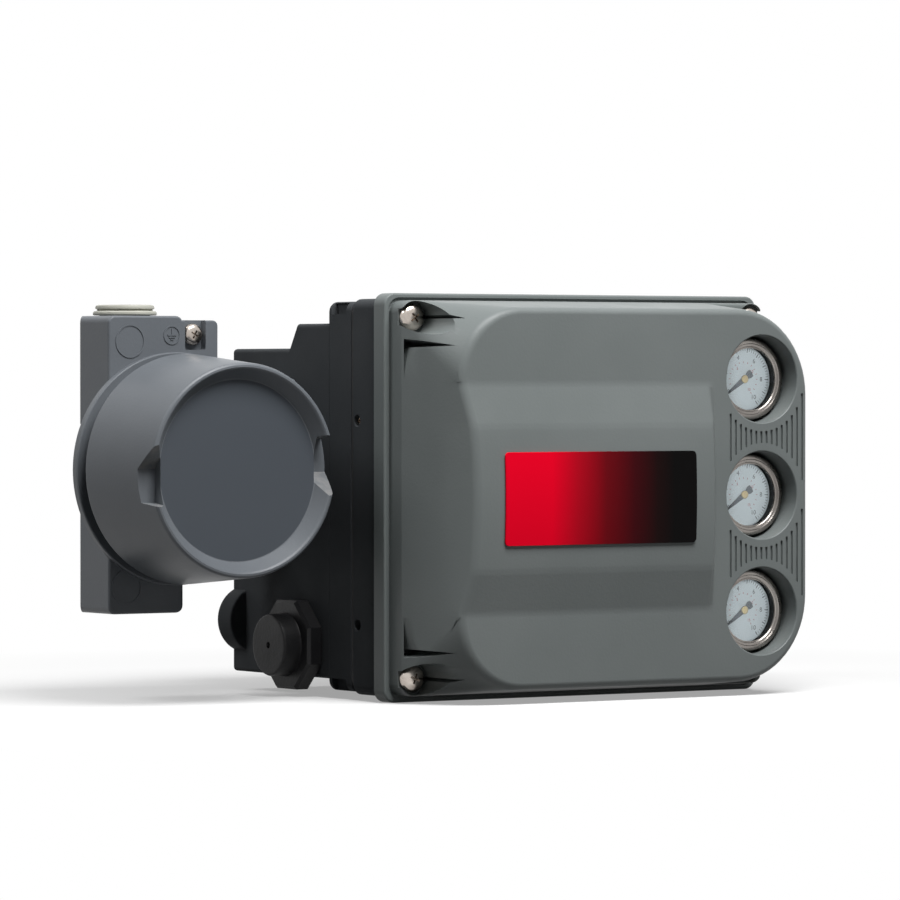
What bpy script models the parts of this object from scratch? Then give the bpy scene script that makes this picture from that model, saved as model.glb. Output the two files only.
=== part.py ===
"""Digital valve positioner with three pressure gauges and a terminal box, built as separate pieces.

Metres, +Z up. The origin is the middle of the rear mounting face. The cover faces -Y, and the terminal
box is on the left, at -X. Every y below counts back from the mounting face towards the cover.
"""
import math

import bmesh
import bpy
from mathutils import Matrix, Vector

# Clearances and common sizes
GAP = 0.0003
RUN_GAP = 0.0004
OVERCUT = 0.001
ROUND_STEPS = 24
LARGE_STEPS = 40
GAUGE_STEPS = 20
SMALL_STEPS = 12

# Housing casting, from the mounting face forward
HOUSING_DEPTH = 0.092
HOUSING_WIDTH = 0.1825
HOUSING_HEIGHT = 0.1588
HOUSING_RIM_DEPTH = 0.017
HOUSING_WALL = 0.005
HOUSING_BACK_WALL = 0.009
SHOULDER_TOP = 0.0706
SHOULDER_DEPTH = 0.024
REAR_TOP = 0.0605
REAR_BOTTOM = -0.0747
STAND_CORNER = 0.004
SIDE_SLOT_LENGTH = 0.011
SIDE_SLOT_HEIGHT = 0.0045
SIDE_SLOT_DEPTH = 0.003
SIDE_SLOT_EDGE = 0.0005
SIDE_SLOT_BACK = 0.0025
BORE_RUNOUT = 0.002

# Mounting bosses on the rear face, for M8 bolts
BOSS_RADIUS = 0.014
BOSS_DEPTH = 0.011
BOSS_REACH = 0.085
BOSS_LOW = -0.053
BOSS_SPACING = 0.0952
M8_RADIUS = 0.004
M8_DEPTH = 0.014

# Travel sensor slot in the rear face
SLOT_X = 0.030
SLOT_WIDTH = 0.024
SLOT_HEIGHT = 0.066
SENSOR_DEPTH = 0.022
SENSOR_FLOOR = 0.005
SENSOR_GROOVE = 0.008

# Module base: the front part of the casting
BASE_DEPTH = 0.020
BASE_HEIGHT = 0.1608
GASKET_THICKNESS = 0.001
GASKET_WIDTH = 0.0036
GASKET_EDGE = 0.0004
STANDOFF_ROOT = 0.002
BASE_SCREW_RADIUS = 0.003
BASE_SCREW_LENGTH = 0.024
BASE_BOSS_RADIUS = 0.0065
BASE_BOSS_LENGTH = 0.020
BASE_BOSS_RIB = 0.0065
BASE_SCREW_LEFT = -0.0172
BASE_SCREW_RIGHT = 0.038
BASE_SCREW_TOP = 0.050
BASE_SCREW_BOTTOM = -0.067
BASE_HEAD_RADIUS = 0.0048
BASE_HEAD_HEIGHT = 0.005
BASE_HEAD_SINK = 0.007
BASE_HEAD_CLEAR = 0.0008
BASE_SOCKET_RADIUS = 0.0029
BASE_SOCKET_DEPTH = 0.003
PORT_RADIUS = 0.0066
PORT_DEPTH = 0.015
SIDE_HOLE_RADIUS = 0.0022
SIDE_HOLE_DEPTH = 0.006
SIDE_HOLE_HIGH = 0.031
SIDE_HOLE_LOW = -0.052
SIDE_HOLE_Y = -0.0968
SIDE_SCREW_SINK = 0.0012
SIDE_SOCKET_RADIUS = 0.0011
SIDE_SOCKET_DEPTH = 0.0015

# Front cover
COVER_WIDTH = 0.1865
COVER_HEIGHT = 0.165
FLANGE_THICKNESS = 0.008
FLANGE_CORNER = 0.005
LEDGE_INSET = 0.003
LEDGE_DEPTH = 0.009
FACE_DEPTH = 0.046
FACE_LEFT_INSET = 0.012
FACE_TOP_INSET = 0.006
FACE_RIGHT_INSET = 0.0015
FACE_LEFT_CORNER = 0.030
FACE_RIGHT_CORNER = 0.035
FACE_EDGE = 0.003
BAND_RISE = 0.0054
BAND_TOP_HALF = 0.029
BAND_FOOT_HALF = 0.046
BAND_END_INSET = 0.050
BAND_END_SLOPE = 0.003
COVER_WALL = 0.003
HOLLOW_INSET = 0.0075
HOLLOW_LEFT_CORNER = 0.036
HOLLOW_RIGHT_CORNER = 0.029
GAUGE_HOLE_RADIUS = 0.018
GAUGE_TUBE_WALL = 0.0022
GAUGE_TUBE_DEPTH = 0.016
PLATE_WIDTH = 0.0943
PLATE_HEIGHT = 0.0374
PLATE_THICKNESS = 0.0006
PLATE_CORNER = 0.0018
PLATE_MIDDLE = -0.017
SEAL_WIDTH = 0.002
SEAL_INSET = 0.0041
SEAL_CORNER = 0.004
SEAL_DEPTH = 0.0016

# Cover screws and their pockets
SCREW_INSET_X = 0.009
SCREW_INSET_Z = 0.010
HEAD_RADIUS = 0.0055
HEAD_HEIGHT = 0.0034
SHANK_RADIUS = 0.0025
SHANK_LENGTH = 0.022
POCKET_RADIUS = 0.0068
SCREW_SEAT = 0.0130
CROSS_LENGTH = 0.0062
CROSS_WIDTH = 0.0011
CROSS_DEPTH = 0.0016
PIT_LENGTH = 0.010
PIT_HEIGHT = 0.0155
PIT_START = 0.0185
PIT_WIDTH = 0.0012
PIT_TIP = 0.0025
PIT_FLOOR = 0.004

# Gauges
GAUGE_INSET = 0.0253
GAUGE_PITCH = 0.04785
DIAL_SETBACK = 0.013
DIAL_RADIUS = 0.0140
DIAL_THICKNESS = 0.0006
CASE_RADIUS = 0.0150
CASE_DEPTH = 0.017
CASE_WALL = 0.0009
CASE_RIM = 0.0022
CASE_BACK_CHAMFER = 0.002
CASE_BACK_WALL = 0.0012
CASE_LEDGE = 0.002
BEZEL_RADIUS = 0.0168
BEZEL_HEIGHT = 0.0045
BEZEL_OPENING = 0.0128
BEZEL_LIP = 0.0010
BEZEL_EDGE = 0.0012
LENS_THICKNESS = 0.0010
LENS_RISE = 0.0012
STEM_RADIUS = 0.0048
STEM_HEX = 0.0120
STEM_HEX_HEIGHT = 0.007
STEM_INSERT = 0.009
HUB_RADIUS = 0.0017
HUB_HEIGHT = 0.0010
POINTER_LENGTH = 0.0105
POINTER_TAIL = 0.0048
POINTER_WIDTH = 0.0007
TAIL_WIDTH = 0.0026
POINTER_THICKNESS = 0.0003
POINTER_LIFT = 0.0006
POINTER_ANGLE = 215.0

# Terminal box
CAP_AXIS_X = 0.0595
CAP_AXIS_Z = 0.0115
CAP_RADIUS = 0.0430
CAP_FOOT_RADIUS = 0.0467
CAP_LENGTH = 0.047
CAP_RING_WIDTH = 0.0062
CAP_RECESS = 0.0055
CAP_LIP = 0.0015
CAP_EDGE = 0.0020
CAP_FACE_WALL = 0.005
NOTCH_WIDTH = 0.022
NOTCH_DEPTH = 0.009
NOTCH_REACH = 0.0075
NOTCH_OVERRUN = 0.003
NOTCH_FLARE = 0.004
NECK_RADIUS = 0.0472
NECK_LENGTH = 0.007
NECK_GAP = 0.001
THREAD_RADIUS = 0.0395
THREAD_LENGTH = 0.016
THREAD_WALL = 0.004
O_RING_SECTION = 0.0012
O_RING_PLACE = 0.004
NECK_ROOT = 0.003
BOX_FRONT = 0.055
BOX_DEPTH = 0.034
BOX_LEFT = 0.0900
BLOCK_WIDTH = 0.035
BLOCK_TOP = 0.0735
BLOCK_BOTTOM = -0.0470
BLOCK_CORNER = 0.003
BLOCK_REAR_CHAMFER = 0.011
CHAMBER_TOP = 0.052
CHAMBER_BOTTOM = -0.029
CHAMBER_FLOOR = 0.007
BRIDGE_TOP = 0.048
BRIDGE_BOTTOM = -0.020
WIRE_HOLE_RADIUS = 0.006
WIRE_HOLE_RISE = 0.012
SIDE_HOLE_REACH = 0.020
BOX_SCREW_DROP = 0.014
BOX_SCREW_WALL = 0.010
BOX_HEAD_RADIUS = 0.0046
BOX_HEAD_HEIGHT = 0.003
BOX_SCREW_LENGTH = 0.0145
BOX_HEAD_CLEAR = 0.0006
SEAL_RING_MARGIN = 0.0035
CHAMBER_CORNER = 0.006
CHAMBER_STEP = 0.001
CHAMBER_SHOULDER = 0.012
BRIDGE_LENGTH = 0.030
BRIDGE_FRONT_STEP = 0.004
BRIDGE_BACK_STEP = 0.003
STEP = 0.0005
CONDUIT_RADIUS = 0.0106
CONDUIT_Y = 0.038
CONDUIT_DEPTH = 0.020
PLUG_RADIUS = 0.0130
PLUG_RIM = 0.0018
PLUG_CAP_RADIUS = 0.0120
PLUG_CAP_HEIGHT = 0.0024
PLUG_WALL = 0.0016
PLUG_STEM = 0.012
BLANK_LENGTH = 0.012
BLANK_SOCKET = 0.009
BLANK_SOCKET_DEPTH = 0.007
BLANK_SINK = 0.0005
PLUG_EDGE = 0.0006
GROUND_X = 0.0493
GROUND_Z = 0.066
GROUND_POCKET = 0.0098
GROUND_POST = 0.006
GROUND_FLOOR = 0.0597
GROUND_TOP = 0.0718
GROUND_DEPTH = 0.016
GROUND_SINK = 0.0035
GROUND_HEAD_RADIUS = 0.0044
GROUND_HEAD_HEIGHT = 0.003
GROUND_SCREW_LENGTH = 0.006
GROUND_ROOT = 0.004
GROUND_LAP = 0.012
INNER_GROUND_X = 0.020
INNER_GROUND_Z = 0.024
INNER_HEAD_RADIUS = 0.0035
INNER_HEAD_HEIGHT = 0.002
INNER_SHANK_RADIUS = 0.0015
INNER_SCREW_LENGTH = 0.004

# Inside the terminal box
BOARD_RADIUS = 0.0250
BOARD_THICKNESS = 0.0016
BOARD_LIFT = 0.004
BOARD_RISE = 0.004
BOARD_FOOT_RADIUS = 0.006
TERMINAL_WIDTH = 0.046
TERMINAL_HEIGHT = 0.018
TERMINAL_DEPTH = 0.014
LOOP_SCREWS = 4
LOOP_HEAD_RADIUS = 0.0032
LOOP_HEAD_HEIGHT = 0.002
LOOP_LENGTH = 0.008
LOOP_SINK = 0.003
LOOP_CLEAR = 0.001
LOOP_SHANK_RADIUS = 0.0015

# Working parts behind the cover
CIRCUIT_WIDTH = 0.050
CIRCUIT_MARGIN = 0.0205
CIRCUIT_THICKNESS = 0.0016
CIRCUIT_LIFT = 0.006
CIRCUIT_LEFT = -0.073
STANDOFF_RADIUS = 0.0035
STANDOFF_MARGIN = 0.0045
CIRCUIT_SCREW_RADIUS = 0.0028
CIRCUIT_HEAD_HEIGHT = 0.0018
CIRCUIT_SHANK_RADIUS = 0.0013
CIRCUIT_SCREW_LENGTH = 0.006
CHIP_SIZE = 0.026
CHIP_HEIGHT = 0.009
CHIP_Z = 0.033
PLUG_BAR_LENGTH = 0.024
PLUG_BAR_WIDTH = 0.014
PLUG_BAR_HEIGHT = 0.006
PLUG_BAR_Z = -0.037
CONVERTER_WIDTH = 0.034
CONVERTER_HEIGHT = 0.044
CONVERTER_DEPTH = 0.022
CONVERTER_X = 0.009
CONVERTER_Z = 0.036
SHROUD_WALL = 0.0018
SHROUD_CLEAR = 0.0008
SHROUD_SLOTS = 3
SHROUD_SLOT_LENGTH = 0.020
SHROUD_SLOT_WIDTH = 0.003
SHROUD_SLOT_PITCH = 0.010
CONVERTER_PORT_RADIUS = 0.004
CONVERTER_PORT_DEPTH = 0.006
CONVERTER_PORT_DROP = 0.011
RELAY_WIDTH = 0.050
RELAY_DEPTH = 0.020
RELAY_X = 0.012
RELAY_Z = -0.036
RELAY_DOME_RADIUS = 0.021
RELAY_DOME_DEPTH = 0.010
DISC_RADIUS = 0.013
DISC_THICKNESS = 0.004
DISC_EDGE = 0.001
DISC_STEM_RADIUS = 0.003
DISC_STEM = 0.008
DISC_SLOT = 0.003
DISC_SLOT_DEPTH = 0.002
RELAY_CORNER = 0.005

# Vent plug, low on the left side
VENT_Y = 0.053
VENT_Z = -0.0614
VENT_ACROSS = 0.0365
VENT_FLANGE = 0.007
VENT_BARREL_RADIUS = 0.0128
VENT_BARREL = 0.008
VENT_DIMPLE = 0.0045
VENT_DIMPLE_DEPTH = 0.002
VENT_STEM_RADIUS = 0.0085
VENT_STEM = 0.0075
VENT_BORE = 0.003

# Places worked out from the sizes
HOUSING_FRONT = -HOUSING_DEPTH
BASE_BACK = HOUSING_FRONT - GASKET_THICKNESS - 2 * GAP
BASE_FRONT = HOUSING_FRONT - BASE_DEPTH
COVER_BACK = BASE_FRONT - GAP
COVER_LEFT = -COVER_WIDTH / 2
COVER_RIGHT = COVER_WIDTH / 2
COVER_TOP = COVER_HEIGHT / 2
CASTING_LEFT = -HOUSING_WIDTH / 2
CASTING_RIGHT = HOUSING_WIDTH / 2
LEDGE_FRONT = BASE_FRONT - FLANGE_THICKNESS - LEDGE_DEPTH
FACE_FRONT = BASE_FRONT - FACE_DEPTH
BAND_FRONT = FACE_FRONT - BAND_RISE
GAUGE_X = COVER_RIGHT - GAUGE_INSET
DIAL_FRONT = FACE_FRONT + DIAL_SETBACK
CAP_X = COVER_LEFT - CAP_AXIS_X
BOX_X = COVER_LEFT - BOX_LEFT
BOX_RIGHT = CASTING_LEFT - GAP
BLOCK_RIGHT = BOX_X + BLOCK_WIDTH
CONDUIT_X = BOX_X + BLOCK_WIDTH / 2
BOX_FACE = -BOX_FRONT
BOX_BACK = BOX_FACE + BOX_DEPTH
NECK_FRONT = BOX_FACE - NECK_LENGTH
CAP_BACK = NECK_FRONT - NECK_GAP
CAP_FRONT = CAP_BACK - CAP_LENGTH
THREAD_FRONT = NECK_FRONT - THREAD_LENGTH
CHAMBER_RADIUS = THREAD_RADIUS - THREAD_WALL
CHAMBER_BACK = BOX_BACK - CHAMBER_FLOOR
BOARD_BACK = CHAMBER_BACK - BOARD_LIFT
BOARD_FRONT = BOARD_BACK - BOARD_THICKNESS
CIRCUIT_HALF_HEIGHT = COVER_TOP - CIRCUIT_MARGIN
CIRCUIT_BACK = BASE_FRONT - CIRCUIT_LIFT
CIRCUIT_FRONT = CIRCUIT_BACK - CIRCUIT_THICKNESS

CAST_GREY = (0.055, 0.058, 0.062, 1)
COVER_GREY = (0.180, 0.200, 0.195, 1)
BOX_GREY = (0.125, 0.137, 0.147, 1)
BLACK = (0.015, 0.015, 0.016, 1)
RUBBER = (0.02, 0.02, 0.02, 1)
NICKEL = (0.72, 0.70, 0.66, 1)
WHITE = (0.82, 0.82, 0.80, 1)
CREAM = (0.50, 0.50, 0.44, 1)
BOARD_GREEN = (0.02, 0.13, 0.06, 1)
PLATE_RED = (0.55, 0.01, 0.02, 1)
LENS_CLEAR = (0.80, 0.85, 0.85, 0.35)


def clear_scene():
    for old in list(bpy.data.objects):
        bpy.data.objects.remove(old, do_unlink=True)


def new_collection(name):
    collection = bpy.data.collections.new(name)
    bpy.context.scene.collection.children.link(collection)
    return collection


def material(name, colour, metallic=0.0, roughness=0.5):
    made = bpy.data.materials.new(name)
    made.use_nodes = True
    shader = made.node_tree.nodes["Principled BSDF"]
    shader.inputs["Base Color"].default_value = colour
    shader.inputs["Metallic"].default_value = metallic
    shader.inputs["Roughness"].default_value = roughness
    return made


# Shapes, each made as a bmesh in place
def box(low, high):
    shape = bmesh.new()
    bmesh.ops.create_cube(shape, size=1.0)
    size = [b - a for a, b in zip(low, high)]
    middle = [(a + b) / 2 for a, b in zip(low, high)]
    bmesh.ops.scale(shape, vec=size, verts=shape.verts)
    bmesh.ops.translate(shape, vec=middle, verts=shape.verts)
    return shape


def cylinder(start, end, radius, steps=ROUND_STEPS, end_radius=None, turn=0.0):
    """A cylinder or cone between two points, with the first corner turned by an angle in degrees."""
    start, end = Vector(start), Vector(end)
    along = end - start
    place = Matrix.Translation((start + end) / 2) @ along.to_track_quat("Z", "Y").to_matrix().to_4x4()
    place = place @ Matrix.Rotation(math.radians(turn), 4, "Z")
    shape = bmesh.new()
    bmesh.ops.create_cone(
        shape,
        cap_ends=True,
        segments=steps,
        radius1=radius,
        radius2=radius if end_radius is None else end_radius,
        depth=along.length,
        matrix=place,
    )
    return shape


def along_y(x, z, y_back, y_front, radius, steps=ROUND_STEPS, turn=0.0):
    return cylinder((x, y_back, z), (x, y_front, z), radius, steps, turn=turn)


def along_x(y, z, x_start, x_end, radius, steps=ROUND_STEPS, turn=0.0):
    return cylinder((x_start, y, z), (x_end, y, z), radius, steps, turn=turn)


def along_z(x, y, z_start, z_end, radius, steps=ROUND_STEPS):
    return cylinder((x, y, z_start), (x, y, z_end), radius, steps)


def quarter(middle_x, middle_z, radius, start, steps):
    """Points of a quarter circle, running on from the start angle in degrees."""
    points = []
    for i in range(steps + 1):
        angle = math.radians(start + 90 * i / steps)
        points.append((middle_x + radius * math.cos(angle), middle_z + radius * math.sin(angle)))
    return points


def rounded_outline(left, right, bottom, top, left_corner, right_corner, steps=6):
    """A rectangle with one radius for its left corners and one for its right, counter-clockwise."""
    points = quarter(right - right_corner, top - right_corner, right_corner, 0, steps)
    points += quarter(left + left_corner, top - left_corner, left_corner, 90, steps)
    points += quarter(left + left_corner, bottom + left_corner, left_corner, 180, steps)
    points += quarter(right - right_corner, bottom + right_corner, right_corner, 270, steps)
    return points


def loft(sections):
    """Joins outlines of equal length, each given as (y, points), into one closed solid."""
    shape = bmesh.new()
    rings = []
    for y, points in sections:
        rings.append([shape.verts.new((x, y, z)) for x, z in points])
    for ring, following in zip(rings, rings[1:]):
        for i in range(len(ring)):
            j = (i + 1) % len(ring)
            shape.faces.new((ring[i], ring[j], following[j], following[i]))
    shape.faces.new(rings[0])
    shape.faces.new(rings[-1])
    bmesh.ops.recalc_face_normals(shape, faces=shape.faces)
    return shape


def prism(points, y_back, y_front):
    """A flat outline in X and Z, made as a filled 2D curve with thickness along Y."""
    curve = bpy.data.curves.new("outline", "CURVE")
    curve.dimensions = "2D"
    curve.fill_mode = "BOTH"
    curve.extrude = abs(y_front - y_back) / 2
    spline = curve.splines.new("POLY")
    spline.points.add(len(points) - 1)
    for point, (x, z) in zip(spline.points, points):
        point.co = (x, z, 0, 1)
    spline.use_cyclic_u = True
    guide = bpy.data.objects.new("outline", curve)
    guide.rotation_euler = (math.pi / 2, 0, 0)
    guide.location = (0, (y_back + y_front) / 2, 0)
    bpy.context.scene.collection.objects.link(guide)
    bpy.context.view_layer.update()
    graph = bpy.context.evaluated_depsgraph_get()
    flat = bpy.data.meshes.new_from_object(guide.evaluated_get(graph))
    flat.transform(guide.matrix_world)
    shape = bmesh.new()
    shape.from_mesh(flat)
    bmesh.ops.remove_doubles(shape, verts=shape.verts, dist=0.00001)
    bmesh.ops.recalc_face_normals(shape, faces=shape.faces)
    bpy.data.objects.remove(guide, do_unlink=True)
    bpy.data.curves.remove(curve)
    bpy.data.meshes.remove(flat)
    return shape


def link(name, shape, collection):
    mesh = bpy.data.meshes.new(name)
    shape.to_mesh(mesh)
    shape.free()
    made = bpy.data.objects.new(name, mesh)
    collection.objects.link(made)
    return made


def part(name, shape, finish):
    made = link(name, shape, PARTS)
    made.data.materials.append(finish)
    return made


def turned_part(name, profile, place, finish, steps=ROUND_STEPS):
    """Turns a profile of (radius, height), from the top down its outer side, about the place's own Z."""
    shape = bmesh.new()
    corners = [shape.verts.new((radius, 0, height)) for radius, height in profile]
    for a, b in zip(corners, corners[1:]):
        shape.edges.new((a, b))
    if profile[0][0] > 0:
        shape.edges.new((corners[-1], corners[0]))
    made = part(name, shape, finish)
    made.matrix_world = place
    turn = made.modifiers.new("turned", "SCREW")
    turn.steps = steps
    turn.render_steps = steps
    turn.use_merge_vertices = True
    turn.merge_threshold = 0.00001
    return made


def facing_front(x, y, z):
    """A place whose own +Z points at -Y, out of the cover."""
    return Matrix.Translation((x, y, z)) @ Matrix.Rotation(math.pi / 2, 4, "X")


def facing_left(x, y, z):
    return Matrix.Translation((x, y, z)) @ Matrix.Rotation(-math.pi / 2, 4, "Y")


def change(target, operation, shapes):
    for shape in shapes:
        tool = link(f"{target.name}_{operation.lower()}", shape, CUTTERS)
        tool.hide_render = True
        tool.display_type = "WIRE"
        step = target.modifiers.new(operation.lower(), "BOOLEAN")
        step.operation = operation
        step.solver = "EXACT"
        step.object = tool


def cut(target, *shapes):
    change(target, "DIFFERENCE", shapes)


def add(target, *shapes):
    change(target, "UNION", shapes)


def set_origin(target, x, y, z):
    """Moves a piece's origin onto its joint's axis and leaves its mesh where it is."""
    target.data.transform(Matrix.Translation((-x, -y, -z)))
    target.location = (x, y, z)


def smooth_round_parts():
    for made in PARTS.objects:
        mesh = made.data
        mesh.shade_smooth()
        mesh.set_sharp_from_angle(angle=math.radians(32))


def cross_cutters(x, y_top, z, length, width, depth):
    """The two bars of a cross recess in a screw head that faces -Y."""
    low, high = y_top - GAP, y_top + depth
    upright = box((x - width / 2, low, z - length / 2), (x + width / 2, high, z + length / 2))
    level = box((x - length / 2, low, z - width / 2), (x + length / 2, high, z + width / 2))
    return upright, level


def pan_screw(name, place, head, shank, finish):
    """A pan head screw along Y: its head's underside is at the place, head and shank are (radius, length)."""
    x, y_seat, z = place
    head_radius, head_height = head
    shank_radius, length = shank
    profile = [
        (0, head_height),
        (head_radius * 0.55, head_height * 0.94),
        (head_radius * 0.86, head_height * 0.66),
        (head_radius, head_height * 0.25),
        (head_radius, 0),
        (shank_radius, 0),
        (shank_radius, -length),
        (0, -length),
    ]
    screw = turned_part(name, profile, facing_front(x, y_seat, z), finish, SMALL_STEPS)
    scale = head_radius / HEAD_RADIUS
    y_top = y_seat - head_height
    cut(screw, *cross_cutters(x, y_top, z, CROSS_LENGTH * scale, CROSS_WIDTH * scale, CROSS_DEPTH * scale))


# Housing
def boss_places():
    for side in (-1, 1):
        for z in (BOSS_LOW, BOSS_LOW + BOSS_SPACING):
            yield side * BOSS_REACH, z


def base_screw_places():
    return [
        (BASE_SCREW_LEFT, BASE_SCREW_TOP),
        (BASE_SCREW_RIGHT, BASE_SCREW_TOP),
        (BASE_SCREW_LEFT, BASE_SCREW_BOTTOM),
    ]


def housing_side_profile():
    """The rear part's outline seen from the side, as (y, z)."""
    rim_back = HOUSING_FRONT + HOUSING_RIM_DEPTH
    shoulder = rim_back + SHOULDER_DEPTH
    drop = SHOULDER_TOP - REAR_TOP
    return [
        (rim_back - GAP, REAR_BOTTOM),
        (0, REAR_BOTTOM),
        (0, REAR_TOP),
        (shoulder + drop * 0.6, REAR_TOP),
        (shoulder, SHOULDER_TOP),
        (rim_back - GAP, SHOULDER_TOP),
    ]


def side_prism(profile, x_low, x_high):
    """A flat outline in Y and Z, with thickness along X."""
    points = [(y, z) for y, z in profile]
    shape = prism(points, -x_low, -x_high)
    bmesh.ops.rotate(shape, verts=shape.verts, cent=(0, 0, 0), matrix=Matrix.Rotation(math.pi / 2, 3, "Z"))
    return shape


def make_housing():
    half = HOUSING_HEIGHT / 2
    rim_back = HOUSING_FRONT + HOUSING_RIM_DEPTH
    rim = frame_outline(HOUSING_WIDTH, HOUSING_HEIGHT, STAND_CORNER)
    housing = part("housing", prism(rim, rim_back, HOUSING_FRONT), CASTING)
    add(housing, side_prism(housing_side_profile(), CASTING_LEFT, CASTING_RIGHT))
    for x, z in boss_places():
        add(housing, along_y(x, z, 0, -BOSS_DEPTH, BOSS_RADIUS))
    hollow_housing(housing)
    add_housing_bosses(housing)
    for x, z in boss_places():
        cut(housing, along_y(x, z, OVERCUT, -M8_DEPTH, M8_RADIUS, SMALL_STEPS))
    for x, z in base_screw_places():
        reach = BASE_FRONT + BASE_HEAD_SINK + BASE_SCREW_LENGTH + BORE_RUNOUT
        cut(housing, along_y(x, z, reach, HOUSING_FRONT - GAP, BASE_SCREW_RADIUS + GAP, SMALL_STEPS))
    half_x, half_z = SLOT_WIDTH / 2, SLOT_HEIGHT / 2
    cut(housing, box(
        (SLOT_X - half_x, -HOUSING_BACK_WALL - OVERCUT, -half_z), (SLOT_X + half_x, OVERCUT, half_z)))
    for side in (-1, 1):
        cut(housing, side_slot(side, side * (half - SIDE_SLOT_EDGE), rim_back - SIDE_SLOT_BACK))
    cut_left_holes(housing)


def hollow_housing(housing):
    """Opens the housing from its front, behind the rim."""
    wall = HOUSING_WALL
    inner = [
        (HOUSING_FRONT - OVERCUT, REAR_BOTTOM + wall),
        (-HOUSING_BACK_WALL, REAR_BOTTOM + wall),
        (-HOUSING_BACK_WALL, REAR_TOP - wall),
        (HOUSING_FRONT - OVERCUT, REAR_TOP - wall),
    ]
    cut(housing, side_prism(inner, CASTING_LEFT + wall, CASTING_RIGHT - wall))


def add_housing_bosses(housing):
    """Bosses for the mounting bolts inside the rear corners, and for the screws that hold the base."""
    wall = HOUSING_WALL
    for x, z in boss_places():
        inside = math.copysign(CASTING_RIGHT - wall - M8_RADIUS, x)
        front = -M8_DEPTH - wall
        add(housing, along_y(inside, z, -HOUSING_BACK_WALL / 2, front, 2 * M8_RADIUS, SMALL_STEPS))
    front = HOUSING_FRONT + GAP
    back = front + BASE_BOSS_LENGTH
    for x, z in base_screw_places():
        add(housing, along_y(x, z, back, front, BASE_BOSS_RADIUS, SMALL_STEPS))
        wall_z = REAR_TOP - wall / 2 if z > 0 else REAR_BOTTOM + wall / 2
        rib = BASE_BOSS_RIB / 2
        low, high = min(z, wall_z), max(z, wall_z)
        add(housing, box((x - rib, front + GAP, low), (x + rib, back - GAP, high)))


def side_slot(side, z_near, y_back):
    """A short slot in the left face of the rim, at its top or bottom edge."""
    z_far = z_near - side * SIDE_SLOT_HEIGHT
    low = (CASTING_LEFT - OVERCUT, y_back - SIDE_SLOT_LENGTH, min(z_near, z_far))
    high = (CASTING_LEFT + SIDE_SLOT_DEPTH, y_back, max(z_near, z_far))
    return box(low, high)


def cut_left_holes(housing):
    """Holes through the left wall for the vent, for the wires and for the terminal box's screw."""
    start, end = CASTING_LEFT - OVERCUT, CASTING_LEFT + HOUSING_WALL + OVERCUT
    cut(housing, along_x(-VENT_Y, VENT_Z, start, CASTING_LEFT + VENT_STEM + OVERCUT, VENT_STEM_RADIUS + GAP))
    cut(housing, along_x(*wire_place(), start, end, WIRE_HOLE_RADIUS))
    cut(housing, along_x(*box_screw_place(), start, end, SHANK_RADIUS + GAP, SMALL_STEPS))


def wire_place():
    return (BOX_FACE + BOX_BACK) / 2, CAP_AXIS_Z + WIRE_HOLE_RISE


def box_screw_place():
    return (BOX_FACE + BOX_BACK) / 2, CAP_AXIS_Z - BOX_SCREW_DROP


def make_sensor():
    """The travel sensor sits in the rear slot: a moulded block with a groove for the magnet strip."""
    half_x = SLOT_WIDTH / 2 - GAP
    half_z = SLOT_HEIGHT / 2 - GAP
    block = box((SLOT_X - half_x, -SENSOR_DEPTH, -half_z), (SLOT_X + half_x, -GAP, half_z))
    sensor = part("feedback_sensor", block, BLACK_PLASTIC)
    groove = SENSOR_GROOVE / 2
    deep = SENSOR_FLOOR - SENSOR_DEPTH
    cut(sensor, box((SLOT_X - groove, deep, -half_z - GAP), (SLOT_X + groove, GAP, half_z + GAP)))


# Module base
def frame_outline(width, height, corner):
    return rounded_outline(-width / 2, width / 2, -height / 2, height / 2, corner, corner, 3)


def cover_screw_places():
    for side in (-1, 1):
        for end in (-1, 1):
            yield side * (COVER_RIGHT - SCREW_INSET_X), end * (COVER_TOP - SCREW_INSET_Z)


def gauge_heights():
    return [GAUGE_PITCH, 0.0, -GAUGE_PITCH]


def standoff_places():
    left = CIRCUIT_LEFT + STANDOFF_MARGIN
    right = CIRCUIT_LEFT + CIRCUIT_WIDTH - STANDOFF_MARGIN
    top = CIRCUIT_HALF_HEIGHT - STANDOFF_MARGIN
    return [(left, top), (right, top), (left, -top), (right, -top)]


def make_base():
    outline = frame_outline(HOUSING_WIDTH, BASE_HEIGHT, STAND_CORNER)
    base = part("module_base", prism(outline, BASE_BACK, BASE_FRONT), CASTING)
    for x, z in standoff_places():
        add(base, along_y(x, z, BASE_FRONT + STANDOFF_ROOT, CIRCUIT_BACK + GAP, STANDOFF_RADIUS, SMALL_STEPS))
    cut_base_holes(base)
    for x, z in circuit_screw_places():
        depth = CIRCUIT_FRONT + CIRCUIT_SCREW_LENGTH + GAP
        cut(base, along_y(x, z, depth, CIRCUIT_BACK - OVERCUT, CIRCUIT_SHANK_RADIUS + GAP, SMALL_STEPS))


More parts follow.
